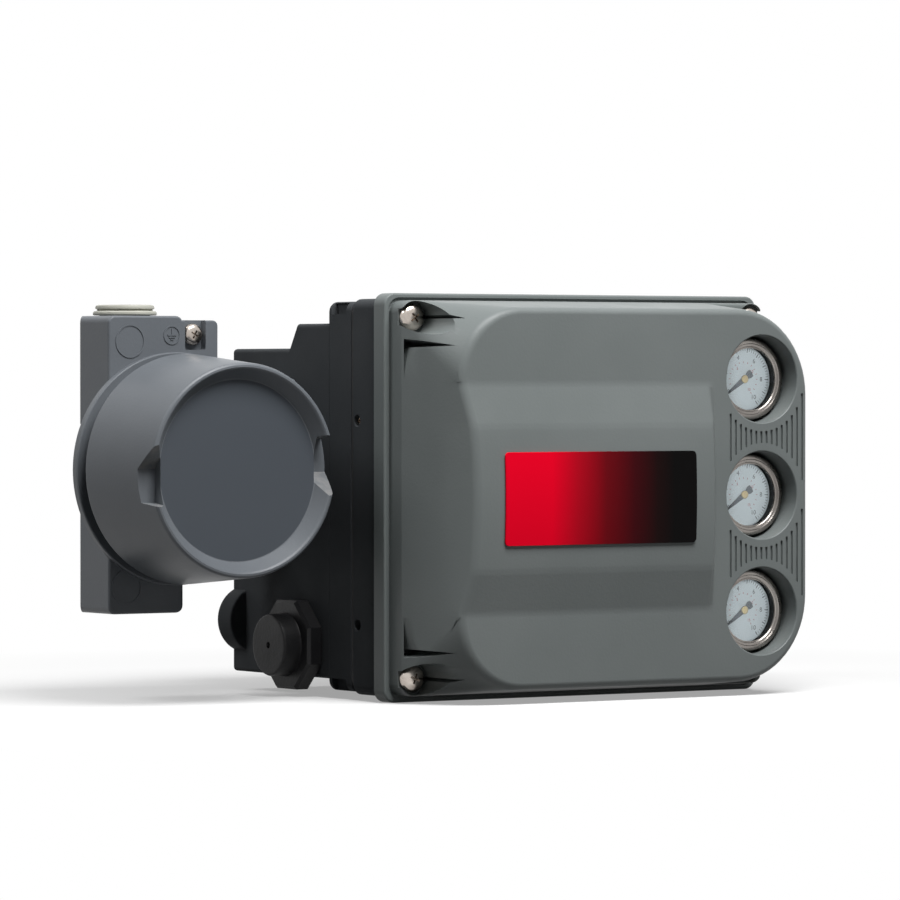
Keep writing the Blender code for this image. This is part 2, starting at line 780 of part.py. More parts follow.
def cut_base_holes(base):
    """Holes in the front for stems and screws, air ports in the right side and two holes in the left."""
    front = BASE_FRONT - GAP
    middle = (BASE_BACK + BASE_FRONT) / 2
    for z in gauge_heights():
        stem_end = BASE_FRONT + STEM_INSERT + BORE_RUNOUT / 2
        cut(base, along_y(GAUGE_X, z, stem_end, front, STEM_RADIUS + GAP, SMALL_STEPS))
        cut(base, along_x(middle, z, CASTING_RIGHT + OVERCUT, CASTING_RIGHT - PORT_DEPTH, PORT_RADIUS))
    for x, z in cover_screw_places():
        reach = COVER_BACK - SCREW_SEAT + SHANK_LENGTH + BORE_RUNOUT
        cut(base, along_y(x, z, reach, front, SHANK_RADIUS + GAP, SMALL_STEPS))
    for x, z in base_screw_places():
        cut(base, along_y(x, z, BASE_BACK + OVERCUT, front, BASE_SCREW_RADIUS + GAP, SMALL_STEPS))
        cut(base, along_y(x, z, BASE_FRONT + BASE_HEAD_SINK, front, BASE_HEAD_RADIUS + BASE_HEAD_CLEAR))
    for z in (SIDE_HOLE_HIGH, SIDE_HOLE_LOW):
        end = CASTING_LEFT + SIDE_HOLE_DEPTH
        cut(base, along_x(SIDE_HOLE_Y, z, CASTING_LEFT - OVERCUT, end, SIDE_HOLE_RADIUS, SMALL_STEPS))


def make_side_screw():
    """A short screw sunk in the upper side hole of the base."""
    start = CASTING_LEFT + SIDE_SCREW_SINK
    end = CASTING_LEFT + SIDE_HOLE_DEPTH - GAP
    shape = along_x(SIDE_HOLE_Y, SIDE_HOLE_HIGH, start, end, SIDE_HOLE_RADIUS - GAP, SMALL_STEPS)
    screw = part("side_screw", shape, NICKEL_METAL)
    socket_end = start + SIDE_SOCKET_DEPTH
    cut(screw, along_x(SIDE_HOLE_Y, SIDE_HOLE_HIGH, start - GAP, socket_end, SIDE_SOCKET_RADIUS, 6))


def make_gasket():
    """A flat frame between the housing's front rim and the module base."""
    outer = frame_outline(HOUSING_WIDTH - 2 * GASKET_EDGE, HOUSING_HEIGHT - 2 * GASKET_EDGE, STAND_CORNER)
    inner = frame_outline(HOUSING_WIDTH - 2 * GASKET_WIDTH, HOUSING_HEIGHT - 2 * GASKET_WIDTH, STAND_CORNER)
    back = HOUSING_FRONT - GAP
    part("base_gasket", ring_between(outer, inner, back, back - GASKET_THICKNESS), SEAL_RUBBER)


def make_base_screws():
    seat = BASE_FRONT + BASE_HEAD_SINK - GAP
    profile = [
        (0, BASE_HEAD_HEIGHT),
        (BASE_HEAD_RADIUS, BASE_HEAD_HEIGHT),
        (BASE_HEAD_RADIUS, 0),
        (BASE_SCREW_RADIUS, 0),
        (BASE_SCREW_RADIUS, -BASE_SCREW_LENGTH),
        (0, -BASE_SCREW_LENGTH),
    ]
    top = seat - BASE_HEAD_HEIGHT
    for i, (x, z) in enumerate(base_screw_places(), 1):
        screw = turned_part(f"base_screw_{i}", profile, facing_front(x, seat, z), STEEL, SMALL_STEPS)
        cut(screw, along_y(x, z, top + BASE_SOCKET_DEPTH, top - OVERCUT, BASE_SOCKET_RADIUS, 6))


# Front cover
def face_outline(inset):
    """The flat face's outline, drawn in from its own edge by a wall."""
    return rounded_outline(
        COVER_LEFT + FACE_LEFT_INSET + inset,
        COVER_RIGHT - FACE_RIGHT_INSET - inset,
        -COVER_TOP + FACE_TOP_INSET + inset,
        COVER_TOP - FACE_TOP_INSET - inset,
        FACE_LEFT_CORNER - inset,
        FACE_RIGHT_CORNER - inset,
        8,
    )


def foot_outline(inset):
    """Where the cover's body stands on its ledge: square at the left, round at the right."""
    return rounded_outline(
        COVER_LEFT + LEDGE_INSET + inset,
        COVER_RIGHT - FACE_RIGHT_INSET - inset,
        -COVER_TOP + LEDGE_INSET + inset,
        COVER_TOP - LEDGE_INSET - inset,
        FLANGE_CORNER + GAP,
        FACE_RIGHT_CORNER - inset,
        8,
    )


def hollow_outline(lean):
    """The inside of the body, clear of the left screws' pockets; its left side leans in by a distance."""
    return rounded_outline(
        COVER_LEFT + HOLLOW_INSET + lean,
        COVER_RIGHT - HOLLOW_INSET,
        -COVER_TOP + HOLLOW_INSET + lean / 3,
        COVER_TOP - HOLLOW_INSET - lean / 3,
        HOLLOW_LEFT_CORNER - lean / 3,
        HOLLOW_RIGHT_CORNER,
        8,
    )


def band_outline(half, slope):
    """The raised band's outline at its foot or its top; its left side carries the cover's slope on."""
    left = COVER_LEFT + FACE_LEFT_INSET + slope * left_slope()
    right = COVER_RIGHT - BAND_END_INSET - slope * BAND_END_SLOPE / BAND_RISE
    return [(right, half), (left, half), (left, -half), (right, -half)]


def left_slope():
    """How far the left side leans in for each metre that it rises."""
    return (FACE_LEFT_INSET - LEDGE_INSET) / (FACE_DEPTH - FLANGE_THICKNESS - LEDGE_DEPTH)


def make_cover():
    flange = rounded_outline(
        COVER_LEFT, COVER_RIGHT, -COVER_TOP, COVER_TOP, FLANGE_CORNER, FLANGE_CORNER, 4)
    flange_front = BASE_FRONT - FLANGE_THICKNESS
    cover = part("front_cover", prism(flange, COVER_BACK, flange_front), COVER_PAINT)
    ledge = rounded_outline(
        COVER_LEFT + LEDGE_INSET, COVER_RIGHT - LEDGE_INSET,
        -COVER_TOP + LEDGE_INSET, COVER_TOP - LEDGE_INSET,
        FLANGE_CORNER, FLANGE_CORNER, 4)
    add(cover, prism(ledge, flange_front + GAP, LEDGE_FRONT))
    body = loft([
        (LEDGE_FRONT + OVERCUT, foot_outline(0)),
        (FACE_FRONT + FACE_EDGE, face_outline(-FACE_EDGE * left_slope())),
        (FACE_FRONT + FACE_EDGE * 0.3, face_outline(FACE_EDGE * 0.3)),
        (FACE_FRONT, face_outline(FACE_EDGE)),
    ])
    add(cover, body)
    add(cover, loft([
        (FACE_FRONT + OVERCUT, band_outline(BAND_FOOT_HALF, -OVERCUT)),
        (BAND_FRONT, band_outline(BAND_TOP_HALF, BAND_RISE)),
    ]))
    cut(cover, loft([
        (COVER_BACK + OVERCUT, hollow_outline(0)),
        (LEDGE_FRONT, hollow_outline(0)),
        (FACE_FRONT + COVER_WALL, hollow_outline(FACE_LEFT_INSET - LEDGE_INSET)),
    ]))
    for z in gauge_heights():
        radius = GAUGE_HOLE_RADIUS + GAUGE_TUBE_WALL
        add(cover, along_y(GAUGE_X, z, FACE_FRONT + GAUGE_TUBE_DEPTH, FACE_FRONT + OVERCUT, radius))
    for z in gauge_heights():
        cut(cover, along_y(GAUGE_X, z, COVER_BACK + OVERCUT, BAND_FRONT, GAUGE_HOLE_RADIUS))
    seat = COVER_BACK - SCREW_SEAT
    for x, z in cover_screw_places():
        cut(cover, along_y(x, z, seat, BAND_FRONT, POCKET_RADIUS, GAUGE_STEPS))
        cut(cover, along_y(x, z, COVER_BACK + OVERCUT, seat - OVERCUT, SHANK_RADIUS + GAP, SMALL_STEPS))
    for end in (-1, 1):
        cut(cover, corner_pit(end))
    cut(cover, seal_frame(SEAL_WIDTH / 2 + GAP, COVER_BACK + OVERCUT, COVER_BACK - SEAL_DEPTH - GAP))


def corner_pit(end):
    """The pit between a left screw's pad and the slope: a bent wedge sunk to the flange, at one corner."""
    left = COVER_LEFT + LEDGE_INSET
    near = COVER_TOP - PIT_START
    tip = near - PIT_TIP
    points = [
        (left, end * near),
        (left, end * (near - PIT_HEIGHT)),
        (left + PIT_WIDTH, end * (tip - PIT_WIDTH)),
        (left + PIT_LENGTH, end * tip),
    ]
    return prism(points, LEDGE_FRONT + PIT_FLOOR, BAND_FRONT)


def seal_frame(half_width, y_back, y_front):
    """A rectangular frame that runs outside the cover's screws."""
    outlines = []
    for offset in (-half_width, half_width):
        width = COVER_WIDTH - 2 * (SEAL_INSET + offset)
        height = COVER_HEIGHT - 2 * (SEAL_INSET + offset)
        outlines.append(frame_outline(width, height, SEAL_CORNER - offset))
    return ring_between(*outlines, y_back, y_front)


def ring_between(outer, inner, y_back, y_front):
    """A closed frame between two outlines with as many points each."""
    shape = bmesh.new()
    loops = []
    for points, y in ((outer, y_back), (outer, y_front), (inner, y_front), (inner, y_back)):
        loops.append([shape.verts.new((x, y, z)) for x, z in points])
    for k in range(4):
        ring, following = loops[k], loops[(k + 1) % 4]
        for i in range(len(ring)):
            j = (i + 1) % len(ring)
            shape.faces.new((ring[i], ring[j], following[j], following[i]))
    bmesh.ops.recalc_face_normals(shape, faces=shape.faces)
    return shape


def make_cover_seal():
    back = COVER_BACK - GAP / 2
    return part("cover_seal", seal_frame(SEAL_WIDTH / 2, back, back - SEAL_DEPTH + GAP), SEAL_RUBBER)


def make_name_plate():
    outline = rounded_outline(
        PLATE_MIDDLE - PLATE_WIDTH / 2, PLATE_MIDDLE + PLATE_WIDTH / 2,
        -PLATE_HEIGHT / 2, PLATE_HEIGHT / 2, PLATE_CORNER, PLATE_CORNER, 4)
    back = BAND_FRONT - GAP
    return part("name_plate", prism(outline, back, back - PLATE_THICKNESS), PLATE_PAINT)


def make_cover_screws():
    seat = COVER_BACK - SCREW_SEAT - GAP
    head, shank = (HEAD_RADIUS, HEAD_HEIGHT), (SHANK_RADIUS, SHANK_LENGTH - 2 * GAP)
    for i, (x, z) in enumerate(cover_screw_places(), 1):
        pan_screw(f"cover_screw_{i}", (x, seat, z), head, shank, NICKEL_METAL)


# Gauges
def make_gauges():
    for i, z in enumerate(gauge_heights(), 1):
        make_gauge(i, z)


def make_gauge(i, z):
    place = facing_front(GAUGE_X, DIAL_FRONT, z)
    case = part(f"gauge_case_{i}", turned_shape(case_profile(), place, GAUGE_STEPS), BLACK_PAINT)
    hex_front = BASE_FRONT - GAP
    hex_radius = STEM_HEX / math.sqrt(3)
    add(case, along_y(GAUGE_X, z, hex_front, hex_front - STEM_HEX_HEIGHT, hex_radius, 6, turn=30))
    dial_back = DIAL_FRONT + DIAL_THICKNESS
    dial = along_y(GAUGE_X, z, dial_back, DIAL_FRONT, DIAL_RADIUS - GAP, GAUGE_STEPS)
    part(f"gauge_dial_{i}", dial, DIAL_WHITE)
    turned_part(f"gauge_lens_{i}", lens_profile(), place, LENS_GLASS, GAUGE_STEPS)
    turned_part(f"gauge_bezel_{i}", bezel_profile(), place, BRIGHT_STEEL, GAUGE_STEPS)
    make_needle(i, z)


def case_profile():
    """The gauge's cup and stem, as (radius, height in front of the dial)."""
    inner = CASE_RADIUS - CASE_WALL
    stem_end = DIAL_FRONT - BASE_FRONT - STEM_INSERT
    shelf = -DIAL_THICKNESS - GAP
    floor = -CASE_DEPTH + CASE_BACK_WALL
    return [
        (inner, CASE_RIM),
        (CASE_RADIUS, CASE_RIM),
        (CASE_RADIUS, -CASE_DEPTH + CASE_BACK_CHAMFER),
        (CASE_RADIUS - CASE_BACK_CHAMFER, -CASE_DEPTH),
        (STEM_RADIUS, -CASE_DEPTH),
        (STEM_RADIUS, stem_end),
        (0, stem_end),
        (0, floor),
        (inner - CASE_LEDGE, floor),
        (inner - CASE_LEDGE, shelf),
        (inner, shelf),
    ]


def lens_profile():
    """A domed window that rests on the case's rim."""
    back = CASE_RIM + GAP
    radius = CASE_RADIUS - GAP
    arc = []
    for k in range(4):
        share = k / 3
        arc.append((radius * share, back + LENS_THICKNESS + LENS_RISE * (1 - share * share)))
    return arc + [(radius, back), (0, back)]


def bezel_profile():
    """A ring round the case, with a lip that holds the lens down."""
    rise = LENS_RISE * (1 - (BEZEL_OPENING / CASE_RADIUS) ** 2)
    lip = CASE_RIM + GAP + LENS_THICKNESS + GAP + rise
    bore = CASE_RADIUS + GAP
    return [
        (BEZEL_OPENING, lip + BEZEL_LIP * 0.6),
        (BEZEL_OPENING + BEZEL_LIP * 0.8, lip + BEZEL_LIP),
        (BEZEL_RADIUS - BEZEL_EDGE, lip + BEZEL_LIP),
        (BEZEL_RADIUS, lip + BEZEL_LIP - BEZEL_EDGE),
        (BEZEL_RADIUS, lip - BEZEL_HEIGHT),
        (bore, lip - BEZEL_HEIGHT),
        (bore, lip),
        (BEZEL_OPENING, lip),
    ]


def turned_shape(profile, place, steps=ROUND_STEPS):
    """A turned shape as a bmesh in place, for a piece that other shapes join."""
    shape = bmesh.new()
    corners = [shape.verts.new((radius, 0, height)) for radius, height in profile]
    edges = [shape.edges.new(pair) for pair in zip(corners, corners[1:])]
    edges.append(shape.edges.new((corners[-1], corners[0])))
    bmesh.ops.spin(
        shape, geom=corners + edges, cent=(0, 0, 0), axis=(0, 0, 1), angle=2 * math.pi, steps=steps,
        use_merge=True)
    bmesh.ops.remove_doubles(shape, verts=shape.verts, dist=0.00001)
    loose = [edge for edge in shape.edges if not edge.link_faces]
    bmesh.ops.delete(shape, geom=loose, context="EDGES")
    bmesh.ops.recalc_face_normals(shape, faces=shape.faces)
    bmesh.ops.transform(shape, matrix=place, verts=shape.verts)
    return shape


def make_needle(i, z):
    """A pointer with a wide tail on a small hub, set at the dial's zero, low on the left."""
    back = DIAL_FRONT - POINTER_LIFT
    outline = [
        (-POINTER_TAIL, -TAIL_WIDTH / 2),
        (-HUB_RADIUS, -POINTER_WIDTH),
        (POINTER_LENGTH, -POINTER_WIDTH * 0.3),
        (POINTER_LENGTH, POINTER_WIDTH * 0.3),
        (-HUB_RADIUS, POINTER_WIDTH),
        (-POINTER_TAIL, TAIL_WIDTH / 2),
    ]
    shape = prism(outline, 0, -POINTER_THICKNESS)
    turn = Matrix.Rotation(-math.radians(POINTER_ANGLE), 3, "Y")
    bmesh.ops.rotate(shape, verts=shape.verts, cent=(0, 0, 0), matrix=turn)
    bmesh.ops.translate(shape, verts=shape.verts, vec=(GAUGE_X, back, z))
    needle = part(f"gauge_needle_{i}", shape, NEEDLE_BLACK)
    hub = along_y(0, 0, GAP * 0.8, -HUB_HEIGHT, HUB_RADIUS, 12)
    bmesh.ops.translate(hub, verts=hub.verts, vec=(GAUGE_X, back, z))
    add(needle, hub)
    set_origin(needle, GAUGE_X, back, z)


# Terminal box
def make_terminal_box():
    corner = BLOCK_CORNER
    block = rounded_outline(BOX_X, BLOCK_RIGHT, BLOCK_BOTTOM, BLOCK_TOP, corner, corner, 3)
    made = part("terminal_box", prism(block, BOX_BACK, BOX_FACE), BOX_PAINT)
    chamber = rounded_outline(
        BOX_X + CHAMBER_STEP, BOX_RIGHT - CHAMBER_SHOULDER, CHAMBER_BOTTOM, CHAMBER_TOP,
        CHAMBER_CORNER, CHAMBER_SHOULDER, 4)
    add(made, prism(chamber, BOX_BACK - STEP, BOX_FACE + STEP))
    cut(made, rear_chamfer())
    add(made, box(
        (BOX_RIGHT - BRIDGE_LENGTH, BOX_FACE + BRIDGE_FRONT_STEP, BRIDGE_BOTTOM),
        (BOX_RIGHT, BOX_BACK - BRIDGE_BACK_STEP, BRIDGE_TOP)))
    add(made, turned_shape(neck_profile(), facing_front(CAP_X, NECK_FRONT, CAP_AXIS_Z), LARGE_STEPS))
    add(made, box(
        (BLOCK_RIGHT - GROUND_ROOT, BOX_FACE, CHAMBER_TOP - GROUND_LAP),
        (ground_right(), BOX_FACE + GROUND_DEPTH, GROUND_TOP)))
    cut(made, along_y(CAP_X, CAP_AXIS_Z, CHAMBER_BACK, THREAD_FRONT - OVERCUT, CHAMBER_RADIUS, LARGE_STEPS))
    cut_ground_pocket(made)
    for z in (BLOCK_TOP, BLOCK_BOTTOM):
        outward = math.copysign(OVERCUT, z)
        depth = math.copysign(CONDUIT_DEPTH, z)
        cut(made, along_z(CONDUIT_X, -CONDUIT_Y, z + outward, z - depth, CONDUIT_RADIUS))
    cut_side_passages(made)


def rear_chamfer():
    """The wedge taken off the rear left edge of the conduit block and the chamber."""
    edge = BLOCK_REAR_CHAMFER
    wedge = [
        (BOX_BACK - edge, BOX_X - OVERCUT),
        (BOX_BACK + OVERCUT, BOX_X - OVERCUT),
        (BOX_BACK + OVERCUT, BOX_X + edge),
    ]
    return upright_prism(wedge, BLOCK_BOTTOM - OVERCUT, BLOCK_TOP + OVERCUT)


def cut_ground_pocket(made):
    """The pocket for the outer ground screw, open at its front and top."""
    x = COVER_LEFT - GROUND_X
    half = GROUND_POCKET / 2
    seat = ground_seat()
    cut(made, box((x - half, BOX_FACE - OVERCUT, GROUND_FLOOR), (x + half, seat, GROUND_TOP + OVERCUT)))
    end = seat + GROUND_SCREW_LENGTH + OVERCUT
    cut(made, along_y(x, GROUND_Z, end, seat - OVERCUT, SHANK_RADIUS + GAP, SMALL_STEPS))


def cut_side_passages(made):
    """The wire hole and the fixing screw's hole towards the housing, and the inner ground screw's hole."""
    start, end = CAP_X + SIDE_HOLE_REACH, BOX_RIGHT + OVERCUT
    cut(made, along_x(*wire_place(), start, end, WIRE_HOLE_RADIUS))
    cut(made, along_x(*box_screw_place(), start, end, SHANK_RADIUS + GAP, SMALL_STEPS))
    cut(made, along_x(*box_screw_place(), start, box_screw_seat(), BOX_HEAD_RADIUS + BOX_HEAD_CLEAR))
    groove = box_seal_radius()
    reach = O_RING_SECTION + GAP
    cut(made, x_ring(BOX_RIGHT + OVERCUT, BOX_RIGHT - 2 * O_RING_SECTION, groove - reach, groove + reach))
    x, z = inner_ground_place()
    depth = CHAMBER_BACK + INNER_SCREW_LENGTH + OVERCUT
    cut(made, along_y(x, z, depth, CHAMBER_BACK - OVERCUT, INNER_SHANK_RADIUS + GAP, SMALL_STEPS))


def inner_ground_place():
    return CAP_X - INNER_GROUND_X, CAP_AXIS_Z - INNER_GROUND_Z


def neck_profile():
    """The round neck, and the threaded collar in front of it with its sealing ring's groove."""
    groove = THREAD_RADIUS + RUN_GAP - 2 * O_RING_SECTION - GAP
    near, far = O_RING_PLACE - O_RING_SECTION - GAP, O_RING_PLACE + O_RING_SECTION + GAP
    foot = -NECK_LENGTH - NECK_ROOT
    return [
        (0, THREAD_LENGTH),
        (THREAD_RADIUS, THREAD_LENGTH),
        (THREAD_RADIUS, far),
        (groove, far),
        (groove, near),
        (THREAD_RADIUS, near),
        (THREAD_RADIUS, 0),
        (NECK_RADIUS, 0),
        (NECK_RADIUS, foot),
        (0, foot),
    ]


def ground_right():
    return COVER_LEFT - GROUND_X + GROUND_POCKET / 2 + GROUND_POST


def ground_seat():
    return BOX_FACE + GROUND_SINK


def box_screw_seat():
    return BOX_RIGHT - BOX_SCREW_WALL


def box_seal_radius():
    return WIRE_HOLE_RADIUS + SEAL_RING_MARGIN


def x_ring(x_high, x_low, inner, outer):
    """A square-section ring about an X axis through the wire hole."""
    y, z = wire_place()
    profile = [(inner, 0), (outer, 0), (outer, x_low - x_high), (inner, x_low - x_high)]
    place = Matrix.Translation((x_high, y, z)) @ Matrix.Rotation(math.pi / 2, 4, "Y")
    return turned_shape(profile, place)


def upright_prism(points, z_low, z_high):
    """A flat outline given as (y, x) pairs, with thickness along Z."""
    shape = bmesh.new()
    rings = []
    for z in (z_low, z_high):
        rings.append([shape.verts.new((x, y, z)) for y, x in points])
    shape.faces.new(rings[0])
    shape.faces.new(rings[1])
    for i in range(len(points)):
        j = (i + 1) % len(points)
        shape.faces.new((rings[0][i], rings[0][j], rings[1][j], rings[1][i]))
    bmesh.ops.recalc_face_normals(shape, faces=shape.faces)
    return shape


def make_box_seal():
    y, z = wire_place()
    place = Matrix.Translation((BOX_RIGHT - O_RING_SECTION, y, z)) @ Matrix.Rotation(math.pi / 2, 4, "Y")
    turned_part("box_seal", ring_profile(box_seal_radius(), O_RING_SECTION - GAP), place, SEAL_RUBBER)


def ring_profile(radius, section, steps=8):
    points = []
    for k in range(steps):
        angle = 2 * math.pi * k / steps
        points.append((radius + section * math.sin(angle), section * math.cos(angle)))
    return points


def make_box_screw():
    y, z = box_screw_place()
    place = facing_left(box_screw_seat() - GAP, y, z)
    profile = [
        (0, BOX_HEAD_HEIGHT),
        (BOX_HEAD_RADIUS * 0.8, BOX_HEAD_HEIGHT * 0.9),
        (BOX_HEAD_RADIUS, BOX_HEAD_HEIGHT * 0.3),
        (BOX_HEAD_RADIUS, 0),
        (SHANK_RADIUS, 0),
        (SHANK_RADIUS, -BOX_SCREW_LENGTH),
        (0, -BOX_SCREW_LENGTH),
    ]
    turned_part("box_screw", profile, place, NICKEL_METAL, SMALL_STEPS)


def make_cap():
    shape = turned_shape(cap_profile(), facing_front(CAP_X, CAP_BACK, CAP_AXIS_Z), LARGE_STEPS)
    cap = part("terminal_cap", shape, BOX_PAINT)
    for side in (-1, 1):
        cut(cap, cap_notch(side))
    set_origin(cap, CAP_X, CAP_BACK, CAP_AXIS_Z)


def cap_profile():
    """The screw-on cap, as (radius, height above its rear edge), with a raised ring round its face."""
    inner = THREAD_RADIUS + RUN_GAP + GAP
    ring_inner = CAP_RADIUS - CAP_RING_WIDTH
    recess = CAP_LENGTH - CAP_RECESS
    inside = recess - CAP_FACE_WALL
    lip = recess + CAP_LIP
    edge = CAP_EDGE
    return [
        (0, recess),
        (ring_inner - CAP_LIP, recess),
        (ring_inner - CAP_LIP, lip),
        (ring_inner, lip),
        (ring_inner + edge / 2, CAP_LENGTH - edge / 2),
        (ring_inner + edge, CAP_LENGTH),
        (CAP_RADIUS - edge, CAP_LENGTH),
        (CAP_RADIUS - edge / 4, CAP_LENGTH - edge / 2),
        (CAP_RADIUS, CAP_LENGTH - 1.5 * edge),
        (CAP_FOOT_RADIUS, edge / 2),
        (CAP_FOOT_RADIUS - edge / 2, 0),
        (inner, 0),
        (inner, inside),
        (0, inside),
    ]


def cap_notch(side):
    """A wrench notch across the cap's ring, with slanted ends."""
    x_near = CAP_X + side * (CAP_RADIUS - NOTCH_REACH)
    x_far = CAP_X + side * (CAP_RADIUS + NOTCH_OVERRUN)
    half = NOTCH_WIDTH / 2
    floor = half - NOTCH_FLARE
    deep = CAP_FRONT + NOTCH_DEPTH
    front = CAP_FRONT - OVERCUT
    points = [
        (deep, CAP_AXIS_Z - floor),
        (deep, CAP_AXIS_Z + floor),
        (front, CAP_AXIS_Z + half),
        (front, CAP_AXIS_Z - half),
    ]
    return side_prism(points, min(x_near, x_far), max(x_near, x_far))


def make_cap_o_ring():
    place = facing_front(CAP_X, NECK_FRONT - O_RING_PLACE, CAP_AXIS_Z)
    radius = THREAD_RADIUS + RUN_GAP - O_RING_SECTION
    turned_part("cap_o_ring", ring_profile(radius, O_RING_SECTION), place, SEAL_RUBBER, LARGE_STEPS)


def make_conduit_plugs():
    """A moulded transit plug on top and a socket-head blank below."""
    top = PLUG_RIM + PLUG_CAP_HEIGHT
    stem = CONDUIT_RADIUS - GAP
    profile = [
        (0, top),
        (PLUG_CAP_RADIUS - PLUG_EDGE, top),
        (PLUG_CAP_RADIUS, top - PLUG_EDGE),
        (PLUG_CAP_RADIUS, PLUG_RIM),
        (PLUG_RADIUS - PLUG_EDGE, PLUG_RIM),
        (PLUG_RADIUS, PLUG_RIM - PLUG_EDGE),
        (PLUG_RADIUS, 0),
        (stem, 0),
        (stem, -PLUG_STEM),
        (stem - PLUG_WALL, -PLUG_STEM),
        (stem - PLUG_WALL, top - PLUG_WALL),
        (0, top - PLUG_WALL),
    ]
    place = Matrix.Translation((CONDUIT_X, -CONDUIT_Y, BLOCK_TOP + GAP))
    turned_part("conduit_plug_top", profile, place, PLUG_PLASTIC)
    low = BLOCK_BOTTOM + BLANK_SINK
    shape = along_z(CONDUIT_X, -CONDUIT_Y, low, low + BLANK_LENGTH, CONDUIT_RADIUS - GAP)
    blank = part("conduit_plug_bottom", shape, STEEL)
    socket = BLANK_SOCKET / math.sqrt(3)
    cut(blank, along_z(CONDUIT_X, -CONDUIT_Y, low - OVERCUT, low + BLANK_SOCKET_DEPTH, socket, 6))


def make_ground_screws():
    place = COVER_LEFT - GROUND_X, ground_seat() - GAP, GROUND_Z
    head, shank = (GROUND_HEAD_RADIUS, GROUND_HEAD_HEIGHT), (SHANK_RADIUS, GROUND_SCREW_LENGTH)
    pan_screw("ground_screw", place, head, shank, NICKEL_METAL)
    x, z = inner_ground_place()
    head, shank = (INNER_HEAD_RADIUS, INNER_HEAD_HEIGHT), (INNER_SHANK_RADIUS, INNER_SCREW_LENGTH)
    pan_screw("inner_ground_screw", (x, CHAMBER_BACK - GAP, z), head, shank, NICKEL_METAL)


def make_terminals():
    """A round board on a short foot, the terminal block on it, and its wiring screws."""
    z = CAP_AXIS_Z + BOARD_RISE
    board = part("terminal_board", along_y(CAP_X, z, BOARD_BACK, BOARD_FRONT, BOARD_RADIUS), BOARD_FINISH)
    add(board, along_y(CAP_X, z, CHAMBER_BACK - GAP, BOARD_BACK - GAP, BOARD_FOOT_RADIUS, SMALL_STEPS))
    half_w, half_h = TERMINAL_WIDTH / 2, TERMINAL_HEIGHT / 2
    back = BOARD_FRONT - GAP
    front = back - TERMINAL_DEPTH
    shape = box((CAP_X - half_w, front, z - half_h), (CAP_X + half_w, back, z + half_h))
    block = part("terminal_block", shape, BLACK_PLASTIC)
    pitch = TERMINAL_WIDTH / LOOP_SCREWS
    seat = front + LOOP_SINK
    head, shank = (LOOP_HEAD_RADIUS, LOOP_HEAD_HEIGHT), (LOOP_SHANK_RADIUS, LOOP_LENGTH - 2 * GAP)
    for i in range(LOOP_SCREWS):
        x = CAP_X - half_w + pitch * (i + 0.5)
        cut(block, along_y(x, z, seat, front - OVERCUT, LOOP_HEAD_RADIUS + LOOP_CLEAR, SMALL_STEPS))
        cut(block, along_y(x, z, seat + LOOP_LENGTH, seat - OVERCUT, LOOP_SHANK_RADIUS + GAP, SMALL_STEPS))
        pan_screw(f"loop_screw_{i + 1}", (x, seat - GAP, z), head, shank, NICKEL_METAL)


# Working parts behind the cover
def make_circuit_board():
    """A board on four standoffs, with a square module and a connector on its front."""
    left, right = CIRCUIT_LEFT, CIRCUIT_LEFT + CIRCUIT_WIDTH
    half = CIRCUIT_HALF_HEIGHT
    shape = box((left, CIRCUIT_FRONT, -half), (right, CIRCUIT_BACK, half))
    board = part("circuit_board", shape, BOARD_FINISH)
    x = (left + right) / 2
    chip, bar_l, bar_w = CHIP_SIZE / 2, PLUG_BAR_LENGTH / 2, PLUG_BAR_WIDTH / 2
    add(board, box(
        (x - chip, CIRCUIT_FRONT - CHIP_HEIGHT, CHIP_Z - chip),
        (x + chip, CIRCUIT_FRONT + GAP, CHIP_Z + chip)))
    add(board, box(
        (x - bar_l, CIRCUIT_FRONT - PLUG_BAR_HEIGHT, PLUG_BAR_Z - bar_w),
        (x + bar_l, CIRCUIT_FRONT + GAP, PLUG_BAR_Z + bar_w)))
    for x, z in circuit_screw_places():
        radius = CIRCUIT_SHANK_RADIUS + GAP
        cut(board, along_y(x, z, CIRCUIT_BACK + OVERCUT, CIRCUIT_FRONT - OVERCUT, radius, SMALL_STEPS))


def circuit_screw_places():
    """Two of the four standoffs, at opposite corners, take a screw."""
    return standoff_places()[1:3]


def make_circuit_screws():
    head = CIRCUIT_SCREW_RADIUS, CIRCUIT_HEAD_HEIGHT
    shank = CIRCUIT_SHANK_RADIUS, CIRCUIT_SCREW_LENGTH
    for i, (x, z) in enumerate(circuit_screw_places(), 1):
        pan_screw(f"circuit_screw_{i}", (x, CIRCUIT_FRONT - GAP, z), head, shank, NICKEL_METAL)


